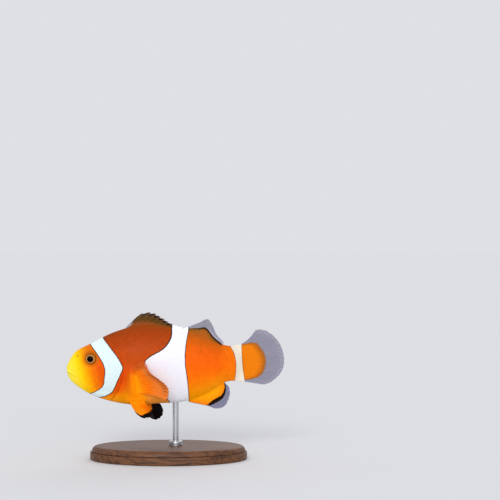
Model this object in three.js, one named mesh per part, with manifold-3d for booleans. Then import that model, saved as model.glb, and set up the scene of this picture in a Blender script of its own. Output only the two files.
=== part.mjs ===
// A common clownfish, life size, swimming on a plain display stand.
// Millimetres, +Z up. The origin is the middle of the stand's underside, and the fish faces -X.
//
// The fish is made straight, in its own axes: s runs back from the snout along the body, w across it
// (negative on the fish's left) and h up from the body's axis. Its parts are cut there, and only then bent
// along the swimming curve.
import * as THREE from "three";
import { ParametricGeometry } from "three/addons/geometries/ParametricGeometry.js";
import { mergeVertices } from "three/addons/utils/BufferGeometryUtils.js";
import Module from "manifold-3d";

const wasm = await Module();
wasm.setup();

// ---------------------------------------------------------------- driving dimensions

const GAP = 0.3; // clearance between neighbouring solids
const MERGE = 1e-4; // corners closer than this are one
const DEGREE = Math.PI / 180;

// Where the fish sits on the stand: the point of its axis above the origin, and the axis's height.
const BALANCE_S = 38;
const AXIS_HEIGHT = 35;

// The swimming curve: two arcs, one that turns the head and one that sweeps the tail, both to the right.
const HEAD_BEND = { start: 24, radius: 172 };
const TAIL_BEND = { start: 36, radius: 101 };

// Sections of the body from the snout to the root of the tail fin: distance back, the heights of the back
// and belly, and half the width.
const STATIONS = [
  { s: 0, back: -1.7, belly: -1.7, half: 0 },
  { s: 0.9, back: 1.2, belly: -5.1, half: 2.3 },
  { s: 3.6, back: 4.9, belly: -7.9, half: 3.9 },
  { s: 9.4, back: 7.9, belly: -11.3, half: 5.2 },
  { s: 17, back: 11.7, belly: -13.8, half: 6.1 },
  { s: 25.5, back: 14.2, belly: -15, half: 6.5 },
  { s: 34, back: 14.3, belly: -14.5, half: 6.1 },
  { s: 43, back: 13.3, belly: -13.9, half: 5.1 },
  { s: 51, back: 10.8, belly: -11.5, half: 3.9 },
  { s: 58, back: 7.6, belly: -7.7, half: 2.7 },
  { s: 63, back: 6.7, belly: -6.5, half: 1.7 },
  { s: 67.5, back: 7.2, belly: -6.9, half: 0.5 },
];
const FINE = { columns: 34, sides: 22 }; // facets of the body's outer surface
const COARSE = { columns: 22, sides: 14 }; // and of the surfaces inside it
const WIDEST_ABOVE_MIDDLE = 0.4; // how far above mid-height the body is widest
const BACK_PINCH = 0.26; // how much a section narrows towards the back
const BELLY_PINCH = 0.1; // and towards the belly

// Where the body is divided. Each seam is an arc about a centre, bulging towards the tail.
const GILL_SEAM = { s: 5.2, h: -1.6, radius: 16.4 };
const STALK_SEAM = { s: 30, h: 0, radius: 27.5 };
const TAIL_ROOT_SEAM = { s: 53.5, h: 0.2, radius: 12 };

const EYE = { s: 9.9, h: 2.3, w: 4.25, radius: 2.1, depth: 1.45 };
const MOUTH = { tipH: -2.7, cornerS: 4.4, cornerH: -4.7, chinS: 6.8 };
const GILL_COVER = { s: 17, h: -3, across: 5.4, tall: 7, thickness: 1.2 };

// The fins. Each has a row of rays, and `along` reads its lists of values from the first ray to the last:
// lengths in millimetres and angles in degrees. `notch` is how far the edge dips between two rays, `root`
// and `edge` are the thickness of a ray at its two ends. `bow` is how far the middle of a ray arches up and
// forward, and `corners` how much shorter the first and the last ray are, as shares of their length.
const SPINY_DORSAL = {
  side: 1, front: 21.4, rear: 42.2, rays: 10, lean: [30, 41, 46, 48, 52],
  lengths: [1.6, 6.2, 7, 6.4, 5.2, 4, 2.7, 1.7, 1, 0.8], notch: 0.1, root: 1.5, edge: 0.6,
  corners: [0.4, 0],
};
const SOFT_DORSAL = {
  side: 1, front: 42.6, rear: 57.6, rays: 15, lean: [50, 40, 25, 36, 46],
  lengths: [0.1, 4.3, 6, 2.5, 0.8], notch: 0.03, root: 1.4, edge: 0.6, corners: [0, 0.3],
};
const ANAL_FIN = {
  side: -1, front: 43.6, rear: 58.4, rays: 14, lean: [60, 53, 38, 36, 48],
  lengths: [1.9, 4.9, 6.8, 7.3, 2.9], notch: 0.03, root: 1.4, edge: 0.6, corners: [0.4, 0.4],
};
const TAIL_FIN = {
  s: 64, low: -6.1, high: 6.3, rays: 15, rise: [-10, -4, 4, 15, 35],
  lengths: [13.7, 17.5, 18.7, 17.5, 12.4], bow: [0, 0, 0, 0, -0.09], notch: 0.02, root: 1.7, edge: 0.6,
  corners: [0.14, 0.18],
};
const PECTORAL_FIN = {
  top: { s: 24.6, w: 5.6, h: -1.2 }, bottom: { s: 25.4, w: 3.7, h: -10.4 }, rays: 17,
  out: [52, 50, 42, 33, 25], rise: [38, 18, 9, 1, -9],
  lengths: [10.6, 11.7, 14.2, 15.6, 14.4], bow: [0.02, 0.08, 0.1, 0.09, 0.05],
  notch: 0.03, root: 1.5, edge: 0.6, corners: [0.14, 0.1],
};
const SPREAD_PELVIC_FIN = {
  top: { s: 23.6, w: 1.7, h: -13.4 }, bottom: { s: 28.2, w: 1.7, h: -13.4 }, rays: 6,
  out: [50, 52, 52, 48, 42], rise: [-53, -52, -48, -47, -45],
  lengths: [8.8, 10.6, 11.3, 11.2, 10.2], bow: [0.03, 0.02, 0, -0.02, -0.03],
  notch: 0.06, root: 1.5, edge: 0.6, corners: [0.14, 0.14],
};
const TRAILING_PELVIC_FIN = {
  ...SPREAD_PELVIC_FIN,
  out: [14, 15, 16, 17, 18], rise: [-43, -42, -36, -27, -13],
  lengths: [10.9, 12, 11.8, 10.2, 7.1],
};
const FIN_ROOT_DEPTH = 0.9; // how deep a fin starts inside the body, before it is cut back to the skin
const BETWEEN_RAYS = 0.8; // thickness of a fin between its rays, as a share of theirs
const EDGE_FULLNESS = 0.35; // how blunt a fin's edges are: 1 is a sharp lens, 0 a square plate
const FIN_CORNER = 0.1; // how far a fin's rounded corners reach across its rays, as a share of them
const FIN_SIDES = 8;

const STAND = { length: 58, width: 36, height: 5, bevel: 0.8 };
const ROD = { s: 40.6, radius: 1.1, sides: 24 };
const COLLAR = { radius: 2.5, height: 1.8, edge: 0.4 };

const FLESH = { color: 0xf06a10, roughness: 0.45, metalness: 0 };
const FACE = { color: 0xfbb414, roughness: 0.45, metalness: 0 };
const FIN = { color: 0xd9791c, roughness: 0.5, metalness: 0 };
const DARK_FIN = { color: 0x8a4a18, roughness: 0.5, metalness: 0 };
const EYEBALL = { color: 0x120c08, roughness: 0.1, metalness: 0 };
const WOOD = { color: 0x4a2c1a, roughness: 0.5, metalness: 0 };
const STEEL = { color: 0xb9bcc0, roughness: 0.3, metalness: 1 };

// ---------------------------------------------------------------- solids

// A closed three.js geometry as a solid that faces outwards.
function solidOf(geometry) {
  const bare = geometry.clone();
  bare.deleteAttribute("normal");
  bare.deleteAttribute("uv");
  const merged = mergeVertices(bare, MERGE);
  const corners = merged.index.array;
  const kept = [];
  for (let i = 0; i < corners.length; i += 3) {
    const [a, b, c] = corners.slice(i, i + 3);
    if (a !== b && b !== c && c !== a) kept.push(a, b, c);
  }
  const vertProperties = Float32Array.from(merged.attributes.position.array);
  const build = (list) =>
    new wasm.Manifold(new wasm.Mesh({ numProp: 3, vertProperties, triVerts: Uint32Array.from(list) }));
  const made = build(kept);
  return made.volume() < 0 ? build(kept.reverse()) : made;
}

// A solid's surface as a three.js geometry.
function geometryOf(solid) {
  const { vertProperties, triVerts } = solid.getMesh();
  return new THREE.BufferGeometry()
    .setAttribute("position", new THREE.BufferAttribute(vertProperties, 3))
    .setIndex(new THREE.BufferAttribute(triVerts, 1));
}

// A shape drawn in s and h, run across the fish from w = near to w = far.
function cutter(shape, near = -20, far = 20) {
  const slab = new THREE.ExtrudeGeometry(shape, {
    depth: far - near,
    bevelEnabled: false,
    curveSegments: 32,
  });
  slab.rotateX(Math.PI / 2);
  slab.translate(0, far, 0);
  return solidOf(slab);
}

// Everything in front of a seam.
function before({ s, h, radius }, grow = 0) {
  const disc = new THREE.Shape();
  disc.absarc(s, h, radius + grow, 0, 2 * Math.PI);
  return cutter(disc);
}

// ---------------------------------------------------------------- the body's form

// A smooth curve through values at equal steps of t, from t = 0 to 1. It leaves the first value as if it
// had come from `earlier`.
function through(earlier, values, t) {
  const last = values.length - 1;
  const i = Math.min(Math.floor(t * last), last - 1);
  const f = t * last - i;
  const previous = i > 0 ? values[i - 1] : earlier;
  const next = i + 2 <= last ? values[i + 2] : 2 * values[last] - values[last - 1];
  const slopeIn = (values[i + 1] - previous) / 2;
  const slopeOut = (next - values[i]) / 2;
  const rise = values[i + 1] - values[i];
  const bend = 3 * rise - 2 * slopeIn - slopeOut;
  const turn = slopeIn + slopeOut - 2 * rise;
  return values[i] + f * (slopeIn + f * (bend + f * turn));
}

// The same, for a fin's values, which run straight on at both ends.
const along = (values, t) => through(2 * values[0] - values[1], values, t);

// The body's section at t, which runs from 0 at the snout to 1 at the tail. The snout is round, because
// the curves of back and belly run on into each other there.
function section(t) {
  const read = (key, earlier) => through(earlier, STATIONS.map((station) => station[key]), t);
  const { s, back, belly, half } = STATIONS[1];
  return {
    s: read("s", s),
    back: read("back", belly),
    belly: read("belly", back),
    half: read("half", -half),
  };
}

// The section at a distance s from the snout.
function sectionAt(s) {
  let low = 0;
  let high = 1;
  while (high - low > 1e-6) {
    const middle = (low + high) / 2;
    if (section(middle).s < s) low = middle;
    else high = middle;
  }
  return section(high);
}

// The whole body with its surface moved out by grow. The surface's last column closes its rear end.
function body(grow = 0, { columns, sides } = FINE) {
  const surface = (u, v, target) => {
    const { s, back, belly, half } = section(Math.min(1, (u * columns) / (columns - 1)));
    const turn = 2 * Math.PI * (v % 1);
    const up = Math.sin(turn);
    const middle = (back + belly) / 2 + WIDEST_ABOVE_MIDDLE * Math.min(1, half);
    const reach = up > 0 ? back + grow - middle : middle - belly + grow;
    const pinch = 1 - (up > 0 ? BACK_PINCH : BELLY_PINCH) * up * up;
    if (u === 0) target.set(-grow, 0, back);
    else if (u === 1) target.set(s + grow, 0, middle);
    else target.set(s, (half + grow) * Math.cos(turn) * pinch, middle + reach * up);
  };
  return solidOf(new ParametricGeometry(surface, columns, sides));
}

// ---------------------------------------------------------------- the swimming curve

// A point in the fish's own axes, moved to the bent midline.
function posed(s, w, h) {
  let turn = 0;
  let forward = s;
  let aside = 0;
  if (s > TAIL_BEND.start || s < HEAD_BEND.start) {
    const { start, radius } = s > TAIL_BEND.start ? TAIL_BEND : HEAD_BEND;
    turn = (s - start) / radius;
    forward = start + radius * Math.sin(turn);
    aside = radius * (1 - Math.cos(turn));
  }
  return new THREE.Vector3(forward - w * Math.sin(turn), aside + w * Math.cos(turn), h);
}

// A solid in the fish's own axes as a bent geometry.
function bent(solid) {
  const geometry = geometryOf(solid);
  const places = geometry.attributes.position;
  for (let i = 0; i < places.count; i += 1) {
    const place = posed(places.getX(i), places.getY(i), places.getZ(i));
    places.setXYZ(i, place.x, place.y, place.z);
  }
  return geometry;
}

// ---------------------------------------------------------------- fins

// A fin, as a thin plate that is ribbed by its rays. `ray` gives, at u from the first ray to the last, the
// ray's foot, its direction, its length, the direction square to the fin and the height of its bow.
function finPlate(ray, { rays, notch, root, edge, corners }) {
  const columns = 2 * rays;
  const shortened = (cut, reach) => cut * (1 - Math.sqrt(1 - (1 - Math.min(1, reach / FIN_CORNER)) ** 2));
  const surface = (u, v, target) => {
    const { foot, aim, length, square, arch = 0 } = ray(u);
    const kept = 1 - shortened(corners[0], u) - shortened(corners[1], 1 - u);
    const ahead = new THREE.Vector3().crossVectors(aim, square);
    const onRay = Math.round(u * columns) % 2 === 1;
    const out = (1 - Math.cos(2 * Math.PI * v)) / 2;
    const wave = Math.sin(2 * Math.PI * (v % 1));
    const full = u > 0 && u < 1 ? Math.sign(wave) * Math.abs(wave) ** EDGE_FULLNESS : 0;
    const thickness = (root + (edge - root) * Math.min(1, 1.5 * out)) * (onRay ? 1 : BETWEEN_RAYS);
    target
      .copy(foot)
      .addScaledVector(aim, out * length * kept * (onRay ? 1 : 1 - notch))
      .addScaledVector(ahead, 4 * arch * out * (1 - out))
      .addScaledVector(square, (full * thickness) / 2);
  };
  return solidOf(new ParametricGeometry(surface, columns, FIN_SIDES));
}

// A fin on the midline of the back (side 1) or belly (side -1). Its rays lean back from upright.
function midlineFin(fin) {
  const { side, front, rear, lean, lengths } = fin;
  const ray = (u) => {
    const s = front + u * (rear - front);
    const { back, belly } = sectionAt(s);
    const tilt = along(lean, u) * DEGREE;
    return {
      foot: new THREE.Vector3(s, 0, side > 0 ? back - FIN_ROOT_DEPTH : belly + FIN_ROOT_DEPTH),
      aim: new THREE.Vector3(Math.sin(tilt), 0, side * Math.cos(tilt)),
      length: along(lengths, u) + FIN_ROOT_DEPTH,
      square: new THREE.Vector3(0, 1, 0),
    };
  };
  return finPlate(ray, fin).subtract(body(GAP));
}

// The tail fin. Its rays fan out from the curved end of the body, from the lowest to the highest.
function tailFin() {
  const { s, low, high, rise, lengths, bow } = TAIL_FIN;
  const { radius } = TAIL_ROOT_SEAM;
  const ray = (u) => {
    const h = low + u * (high - low);
    const climb = along(rise, u) * DEGREE;
    const length = along(lengths, u);
    return {
      foot: new THREE.Vector3(s + Math.sqrt(radius * radius - h * h) - radius, 0, h),
      aim: new THREE.Vector3(Math.cos(climb), 0, Math.sin(climb)),
      length,
      square: new THREE.Vector3(0, 1, 0),
      arch: along(bow, u) * length,
    };
  };
  return finPlate(ray, TAIL_FIN).subtract(before(TAIL_ROOT_SEAM, GAP));
}

// A paired fin on the fish's left (side -1) or right (side 1). Its rays leave a short root line, and each
// stands `out` from the fish's own plane and rises by `rise` within it.
function pairedFin(fin, side) {
  const { top, bottom, out, rise, lengths, bow } = fin;
  const aimAt = (u) => {
    const away = along(out, u) * DEGREE;
    const climb = along(rise, u) * DEGREE;
    return new THREE.Vector3(
      Math.cos(away) * Math.cos(climb),
      side * Math.sin(away),
      Math.cos(away) * Math.sin(climb),
    );
  };
  const rootLine = new THREE.Vector3(bottom.s - top.s, side * (bottom.w - top.w), bottom.h - top.h);
  const ray = (u) => {
    const aim = aimAt(u);
    const length = along(lengths, u);
    const fan = aimAt(Math.min(1, u + 0.05)).sub(aimAt(Math.max(0, u - 0.05)));
    const across = rootLine.clone().addScaledVector(fan, 5 * length);
    return {
      foot: new THREE.Vector3(top.s, side * top.w, top.h).addScaledVector(rootLine, u),
      aim,
      length,
      square: new THREE.Vector3().crossVectors(aim, across).normalize(),
      arch: along(bow, u) * length,
    };
  };
  return finPlate(ray, fin).subtract(body(GAP));
}

// ---------------------------------------------------------------- head

function eyeball(side, grow = 0) {
  const ball = new THREE.SphereGeometry(1, 18, 10);
  ball.scale(EYE.radius + grow, EYE.depth + grow, EYE.radius + grow);
  ball.translate(EYE.s, side * EYE.w, EYE.h);
  return solidOf(ball);
}

// The space of the lower jaw: under the mouth, and in front of the throat.
function jawSpace(grow = 0) {
  const { tipH, cornerS, cornerH, chinS } = MOUTH;
  const ahead = -3;
  const below = -14;
  const outline = [
    [ahead, tipH + grow],
    [0, tipH + grow],
    [cornerS + grow, cornerH + grow],
    [chinS + grow, below],
    [ahead, below],
  ];
  return cutter(new THREE.Shape(outline.map(([s, h]) => new THREE.Vector2(s, h))));
}

// The space of a gill cover: the outer layer of the cheek on one side, inside an oval.
function gillCoverSpace(side, grow = 0) {
  const { s, h, across, tall, thickness } = GILL_COVER;
  const oval = new THREE.Shape();
  oval.absellipse(s, h, across + grow, tall + grow, 0, 2 * Math.PI);
  const half = side > 0 ? cutter(oval, 1.5, 20) : cutter(oval, -20, -1.5);
  return half.subtract(body(-thickness - grow, COARSE));
}

function gillCover(whole, side) {
  return whole.intersect(gillCoverSpace(side)).intersect(before(GILL_SEAM));
}

function head(whole) {
  return whole
    .intersect(before(GILL_SEAM))
    .subtract(jawSpace(GAP))
    .subtract(gillCoverSpace(-1, GAP))
    .subtract(gillCoverSpace(1, GAP))
    .subtract(eyeball(-1, GAP))
    .subtract(eyeball(1, GAP));
}

// ---------------------------------------------------------------- stand

function standBase() {
  const { length, width, height, bevel } = STAND;
  const oval = new THREE.Shape();
  oval.absellipse(0, 0, length / 2 - bevel, width / 2 - bevel, 0, 2 * Math.PI);
  const plate = new THREE.ExtrudeGeometry(oval, {
    depth: height - 2 * bevel,
    bevelThickness: bevel,
    bevelSize: bevel,
    bevelSegments: 2,
    curveSegments: 24,
  });
  plate.translate(0, 0, bevel);
  return solidOf(plate);
}

// The point of the belly that the rod holds, in the model's own frame.
function heldPoint() {
  return posed(ROD.s, 0, sectionAt(ROD.s).belly).add(new THREE.Vector3(-BALANCE_S, 0, AXIS_HEIGHT));
}

// The rod, whose top is hollowed to fit the belly.
function standRod(trunk) {
  const { x, y, z } = heldPoint();
  const foot = STAND.height + GAP;
  const top = z + ROD.radius;
  const rod = new THREE.CylinderGeometry(ROD.radius, ROD.radius, top - foot, ROD.sides);
  rod.rotateX(Math.PI / 2);
  rod.translate(x, y, (top + foot) / 2);
  return solidOf(rod).subtract(solidOf(trunk).translate([-BALANCE_S, 0, AXIS_HEIGHT - GAP]));
}

function standCollar() {
  const { x, y } = heldPoint();
  const { radius, height, edge } = COLLAR;
  const bore = ROD.radius + GAP;
  const outline = [
    [bore, 0],
    [radius, 0],
    [radius, height - edge],
    [radius - edge, height],
    [bore, height],
    [bore, 0],
  ];
  const collar = new THREE.LatheGeometry(outline.map(([r, z]) => new THREE.Vector2(r, z)), ROD.sides);
  collar.rotateX(Math.PI / 2);
  collar.translate(x, y, STAND.height + GAP);
  return solidOf(collar);
}

// ---------------------------------------------------------------- the model

function mesh(name, geometry, finish) {
  const made = new THREE.Mesh(geometry, new THREE.MeshStandardMaterial(finish));
  made.name = name;
  return made;
}

function fish() {
  const whole = body();
  const trunk = whole.subtract(before(GILL_SEAM, GAP)).intersect(before(STALK_SEAM));
  const stalk = whole.subtract(before(STALK_SEAM, GAP)).intersect(before(TAIL_ROOT_SEAM));
  const group = new THREE.Group();
  group.add(
    mesh("head", bent(head(whole)), FACE),
    mesh("lower_jaw", bent(whole.intersect(jawSpace())), FACE),
    mesh("gill_cover_left", bent(gillCover(whole, -1)), FACE),
    mesh("gill_cover_right", bent(gillCover(whole, 1)), FACE),
    mesh("eye_left", bent(eyeball(-1)), EYEBALL),
    mesh("eye_right", bent(eyeball(1)), EYEBALL),
    mesh("trunk", bent(trunk), FLESH),
    mesh("tail_stalk", bent(stalk), FLESH),
    mesh("dorsal_fin_spiny", bent(midlineFin(SPINY_DORSAL)), FIN),
    mesh("dorsal_fin_soft", bent(midlineFin(SOFT_DORSAL)), FIN),
    mesh("anal_fin", bent(midlineFin(ANAL_FIN)), FIN),
    mesh("tail_fin", bent(tailFin()), FIN),
    mesh("pectoral_fin_left", bent(pairedFin(PECTORAL_FIN, -1)), FIN),
    mesh("pectoral_fin_right", bent(pairedFin(PECTORAL_FIN, 1)), FIN),
    mesh("pelvic_fin_left", bent(pairedFin(SPREAD_PELVIC_FIN, -1)), DARK_FIN),
    mesh("pelvic_fin_right", bent(pairedFin(TRAILING_PELVIC_FIN, 1)), DARK_FIN),
  );
  group.position.set(-BALANCE_S, 0, AXIS_HEIGHT);
  return group;
}

function stand(trunk) {
  const group = new THREE.Group();
  group.add(
    mesh("stand_base", geometryOf(standBase()), WOOD),
    mesh("stand_rod", geometryOf(standRod(trunk)), STEEL),
    mesh("stand_collar", geometryOf(standCollar()), STEEL),
  );
  return group;
}

const clownfish = fish();
const model = new THREE.Group();
model.add(clownfish, stand(clownfish.getObjectByName("trunk").geometry));

export default model;
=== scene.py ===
"""A life-size common clownfish, swimming on a plain display stand.

The fish is worked out straight, in its own axes and in millimetres: s runs back from the snout, w across
it (negative on its left) and h up from the body's axis. Each surface is a function of two parameters on a
grid of numpy arrays. As its last step it is bent along the swimming curve and turned into metres.
"""

import logging
import math
from dataclasses import dataclass, field
from enum import Enum
from functools import cached_property

import bpy
import numpy as np
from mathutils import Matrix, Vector

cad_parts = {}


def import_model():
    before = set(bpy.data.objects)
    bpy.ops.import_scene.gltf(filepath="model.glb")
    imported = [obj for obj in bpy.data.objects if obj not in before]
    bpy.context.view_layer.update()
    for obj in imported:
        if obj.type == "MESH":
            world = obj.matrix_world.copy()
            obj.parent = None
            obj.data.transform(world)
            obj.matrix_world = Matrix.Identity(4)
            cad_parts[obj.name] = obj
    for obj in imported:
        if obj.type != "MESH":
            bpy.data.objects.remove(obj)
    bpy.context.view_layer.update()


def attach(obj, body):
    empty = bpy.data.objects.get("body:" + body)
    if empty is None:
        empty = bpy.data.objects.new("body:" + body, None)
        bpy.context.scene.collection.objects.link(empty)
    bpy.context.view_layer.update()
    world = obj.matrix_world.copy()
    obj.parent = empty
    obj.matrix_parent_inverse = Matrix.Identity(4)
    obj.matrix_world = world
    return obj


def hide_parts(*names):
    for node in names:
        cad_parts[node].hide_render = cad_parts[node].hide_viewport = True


Array = np.ndarray
Colour = tuple[float, float, float]
Knots = tuple[tuple[float, float], ...]

MM = 0.001
SEED = 7
ACROSS = np.array([0.0, 1.0, 0.0])  # the direction (s, w, h) that points to the fish's right
NO_BAR = -9.0  # a distance inside a bar that means there is none near
LOG = logging.getLogger("clownfish")


class Side(Enum):
    """A side of the fish, as the sign of w there."""

    LEFT = -1
    RIGHT = 1

    @property
    def word(self) -> str:
        """The side in small letters, as names of pieces end in it."""
        return self.name.lower()


class Slot(Enum):
    """The part's material slots."""

    SKIN = "skin"
    FIN = "fin"
    EYE = "eye"
    WOOD = "base_wood"
    STEEL = "rod_steel"


# ------------------------------------------------------------------ curves and colours


def smoothstep(low: float, high: float, value: Array) -> Array:
    """0 up to low, 1 from high, and 3x² − 2x³ between, where x is the way from low to high."""
    x = np.clip((value - low) / (high - low), 0, 1)
    return x * x * (3 - 2 * x)


def fade(low: float, high: float, value: Array) -> Array:
    """1 up to low and 0 from high: 1 less the smooth step."""
    return 1 - smoothstep(low, high, value)


def between(start: float, full: float, ebb: float, end: float, value: Array) -> Array:
    """A smooth step up from start to full, times one down from ebb to end."""
    return smoothstep(start, full, value) * fade(ebb, end, value)


def bump(offset: Array, width: float | Array) -> Array:
    """A bell: e to the power −(offset / width)²."""
    return np.exp(-((offset / width) ** 2))


def cubic(start: Array, rise: Array, slope_in: Array, slope_out: Array, f: Array) -> Array:
    """The cubic that climbs from start by rise as f goes from 0 to 1, with the given slopes at its ends.

    Args:
        start: the value at f = 0.
        rise: how much it climbs by f = 1.
        slope_in: its slope at f = 0.
        slope_out: its slope at f = 1.
        f: the way along.

    Returns:
        The cubic's values.
    """
    bend = 3 * rise - 2 * slope_in - slope_out
    turn = slope_in + slope_out - 2 * rise
    return start + f * (slope_in + f * (bend + f * turn))


def through(earlier: float, values: tuple[float, ...], t: Array) -> Array:
    """A smooth curve through values at equal steps of t.

    Between two values it is the cubic whose slope at each is half the difference of its neighbours. It
    leaves the first as if it had come from earlier, and runs straight on after the last.

    Args:
        earlier: the value that would stand before the first.
        values: the values from t = 0 to t = 1.
        t: where the curve is read.

    Returns:
        The curve's values.
    """
    last = len(values) - 1
    known = np.array([earlier, *values, 2 * values[-1] - values[-2]])
    i = np.clip(np.floor(t * last).astype(int), 0, last - 1)
    slope_in = (known[i + 2] - known[i]) / 2
    slope_out = (known[i + 3] - known[i + 1]) / 2
    return cubic(known[i + 1], known[i + 2] - known[i + 1], slope_in, slope_out, t * last - i)


def along(values: tuple[float, ...], t: Array) -> Array:
    """The same curve, which runs straight on at both ends."""
    return through(2 * values[0] - values[1], values, t)


def curve(knots: Knots, x: Array) -> Array:
    """A smooth curve through knots (x, y) with rising x, held level outside them.

    Between two knots it is the cubic with the slopes that numpy's gradient gives there.

    Args:
        knots: the known points.
        x: where the curve is read.

    Returns:
        The curve's values.
    """
    known_x, known_y = np.array(knots).T
    slopes = np.gradient(known_y, known_x)
    i = np.clip(np.searchsorted(known_x, x) - 1, 0, len(known_x) - 2)
    gap = known_x[i + 1] - known_x[i]
    f = np.clip((x - known_x[i]) / gap, 0, 1)
    return cubic(known_y[i], known_y[i + 1] - known_y[i], slopes[i] * gap, slopes[i + 1] * gap, f)


def rgb(red: int, green: int, blue: int) -> Colour:
    """A display colour, from 0 to 255, as shares from 0 to 1."""
    return (red / 255, green / 255, blue / 255)


def light(colour: Array | Colour) -> Array:
    """Display colour as amounts of light: ((c + 0.055) / 1.055) to the power 2.4."""
    c = np.clip(np.asarray(colour, float), 0, 1)
    return np.where(c < 0.04045, c / 12.92, ((c + 0.055) / 1.055) ** 2.4)


def blend(first: Array | Colour, second: Array | Colour, share: Array) -> Array:
    """first · (1 − share) + second · share, colour by colour."""
    amount = np.asarray(share)[..., None]
    return np.asarray(first) * (1 - amount) + np.asarray(second) * amount


def upright(s: Array, h: Array) -> Array:
    """Points or directions (s, 0, h) in the fish's middle plane."""
    return np.stack([s, 0 * s, h], axis=-1)


@dataclass(frozen=True)
class Ramp:
    """Colours at given places along a line, with straight blends between them."""

    stops: tuple[tuple[float, Colour], ...]

    def at(self, x: Array) -> Array:
        """The colours at x, with one more axis for red, green and blue.

        Args:
            x: places along the line.

        Returns:
            The colours, with one more axis for red, green and blue.
        """
        places = [place for place, _ in self.stops]
        channels = zip(*(colour for _, colour in self.stops))
        return np.stack([np.interp(x, places, channel) for channel in channels], axis=-1)


# ------------------------------------------------------------------ pieces


@dataclass
class Sheet:
    """A grid of points, or many grids of the same size, and what the finish reads at each point.

    The last two axes of a grid are its rows and columns. Neighbouring rows and columns make four-sided
    faces, and points that fall on the same place become one.
    """

    points: Array
    uv: Array
    values: dict[str, Array] = field(default_factory=dict)

    def corners(self) -> Array:
        """The four point numbers of each face, as rows of four.

        Returns:
            A row of four numbers for each face.
        """
        rows, columns = self.points.shape[-3:-1]
        numbers = np.arange(self.points.size // 3).reshape(-1, rows, columns)
        return np.stack(
            [numbers[:, :-1, :-1], numbers[:, :-1, 1:], numbers[:, 1:, 1:], numbers[:, 1:, :-1]], axis=-1
        ).reshape(-1, 4)

    def faces(self, vertices: Array, place: Array) -> tuple[Array, Array, Array]:
        """The faces that keep three corners or more once doubles are one point, turned to face outwards.

        They face outwards when the cones from the origin to them have more volume above 0 than below.

        Args:
            vertices: the separate points.
            place: for each point of the grid, the number of the separate point it falls on.

        Returns:
            For each face the grid numbers of its corners, their separate points, and which corners count.
        """
        numbers = self.corners()
        corners = place[numbers]
        full = (corners != np.roll(corners, -1, axis=1)).sum(axis=1) >= 3
        numbers, corners = numbers[full], corners[full]
        a, b, c, d = (vertices[corners[:, k]] for k in range(4))
        if (a * np.cross(b, c)).sum() + (a * np.cross(c, d)).sum() < 0:
            numbers, corners = numbers[:, ::-1], corners[:, ::-1]
        return numbers, corners, corners != np.roll(corners, -1, axis=1)


def merged(points: Array) -> tuple[Array, Array]:
    """Points without their doubles.

    Each point is rounded to a hundredth of a micrometre and its three whole numbers are mixed into one.

    Args:
        points: places in metres, one row each.

    Returns:
        The number of the first point at each separate place, and for each point the number of its place.
    """
    cells = np.round(points * 1e8).astype(np.int64)
    key = cells[:, 0] * 73856093 + cells[:, 1] * 19349669331 + cells[:, 2] * 83492791083511
    _, first, place = np.unique(key, return_index=True, return_inverse=True)
    return first, place.reshape(-1)


def store(mesh: bpy.types.Mesh, name: str, values: Array) -> None:
    """Keeps a number or a colour for each point of a mesh, which the finish reads by its name."""
    count, width = values.shape
    if width == 3:
        attribute = mesh.attributes.new(name, "FLOAT_COLOR", "POINT")
        opaque = np.hstack([values, np.ones((count, 1))])
        attribute.data.foreach_set("color", opaque.astype(np.float32).ravel())
    else:
        attribute = mesh.attributes.new(name, "FLOAT", "POINT")
        attribute.data.foreach_set("value", values.astype(np.float32).ravel())


def new_mesh(name: str, sheet: Sheet) -> bpy.types.Mesh:
    """A mesh of the faces of a sheet, with its UV map and its values.

    Args:
        name: the mesh's name.
        sheet: its surface.

    Returns:
        The mesh.
    """
    points = sheet.points.reshape(-1, 3)
    first, place = merged(points)
    numbers, corners, kept = sheet.faces(points[first], place)
    sides = kept.sum(axis=1)
    mesh = bpy.data.meshes.new(name)
    mesh.vertices.add(len(first))
    mesh.vertices.foreach_set("co", points[first].astype(np.float32).ravel())
    mesh.loops.add(int(sides.sum()))
    mesh.loops.foreach_set("vertex_index", corners[kept].astype(np.int32))
    mesh.polygons.add(len(sides))
    starts = np.concatenate([[0], np.cumsum(sides)[:-1]])
    mesh.polygons.foreach_set("loop_start", starts.astype(np.int32))
    mesh.update(calc_edges=True)
    layer = mesh.uv_layers.new(name="OFBake")
    layer.uv.foreach_set("vector", sheet.uv.reshape(-1, 2)[numbers[kept]].astype(np.float32).ravel())
    for key, values in sheet.values.items():
        store(mesh, key, values.reshape(len(points), -1)[first])
    return mesh


def make_piece(
    name: str,
    sheet: Sheet,
    finish: bpy.types.Material,
    nodes: tuple[str, ...] = (),
    crease: float | None = None,
) -> bpy.types.Object:
    """One closed object of the model from a sheet.

    Args:
        name: the object's name.
        sheet: its surface, in metres.
        finish: its material.
        nodes: the solids that it stands for.
        crease: the angle in degrees past which an edge is sharp. None is smooth all over.

    Returns:
        The object, which rides on the root.
    """
    mesh = new_mesh(name, sheet)
    mesh.shade_smooth()
    if crease is not None:
        mesh.set_sharp_from_angle(angle=math.radians(crease))
    mesh.validate()
    mesh.materials.append(finish)
    piece = bpy.data.objects.new(name, mesh)
    bpy.context.scene.collection.objects.link(piece)
    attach(piece, "root")
    if nodes:
        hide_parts(*nodes)
    mesh.calc_loop_triangles()
    LOG.info("%s: %d triangles", name, len(mesh.loop_triangles))
    return piece


# ------------------------------------------------------------------ the body's form


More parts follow.
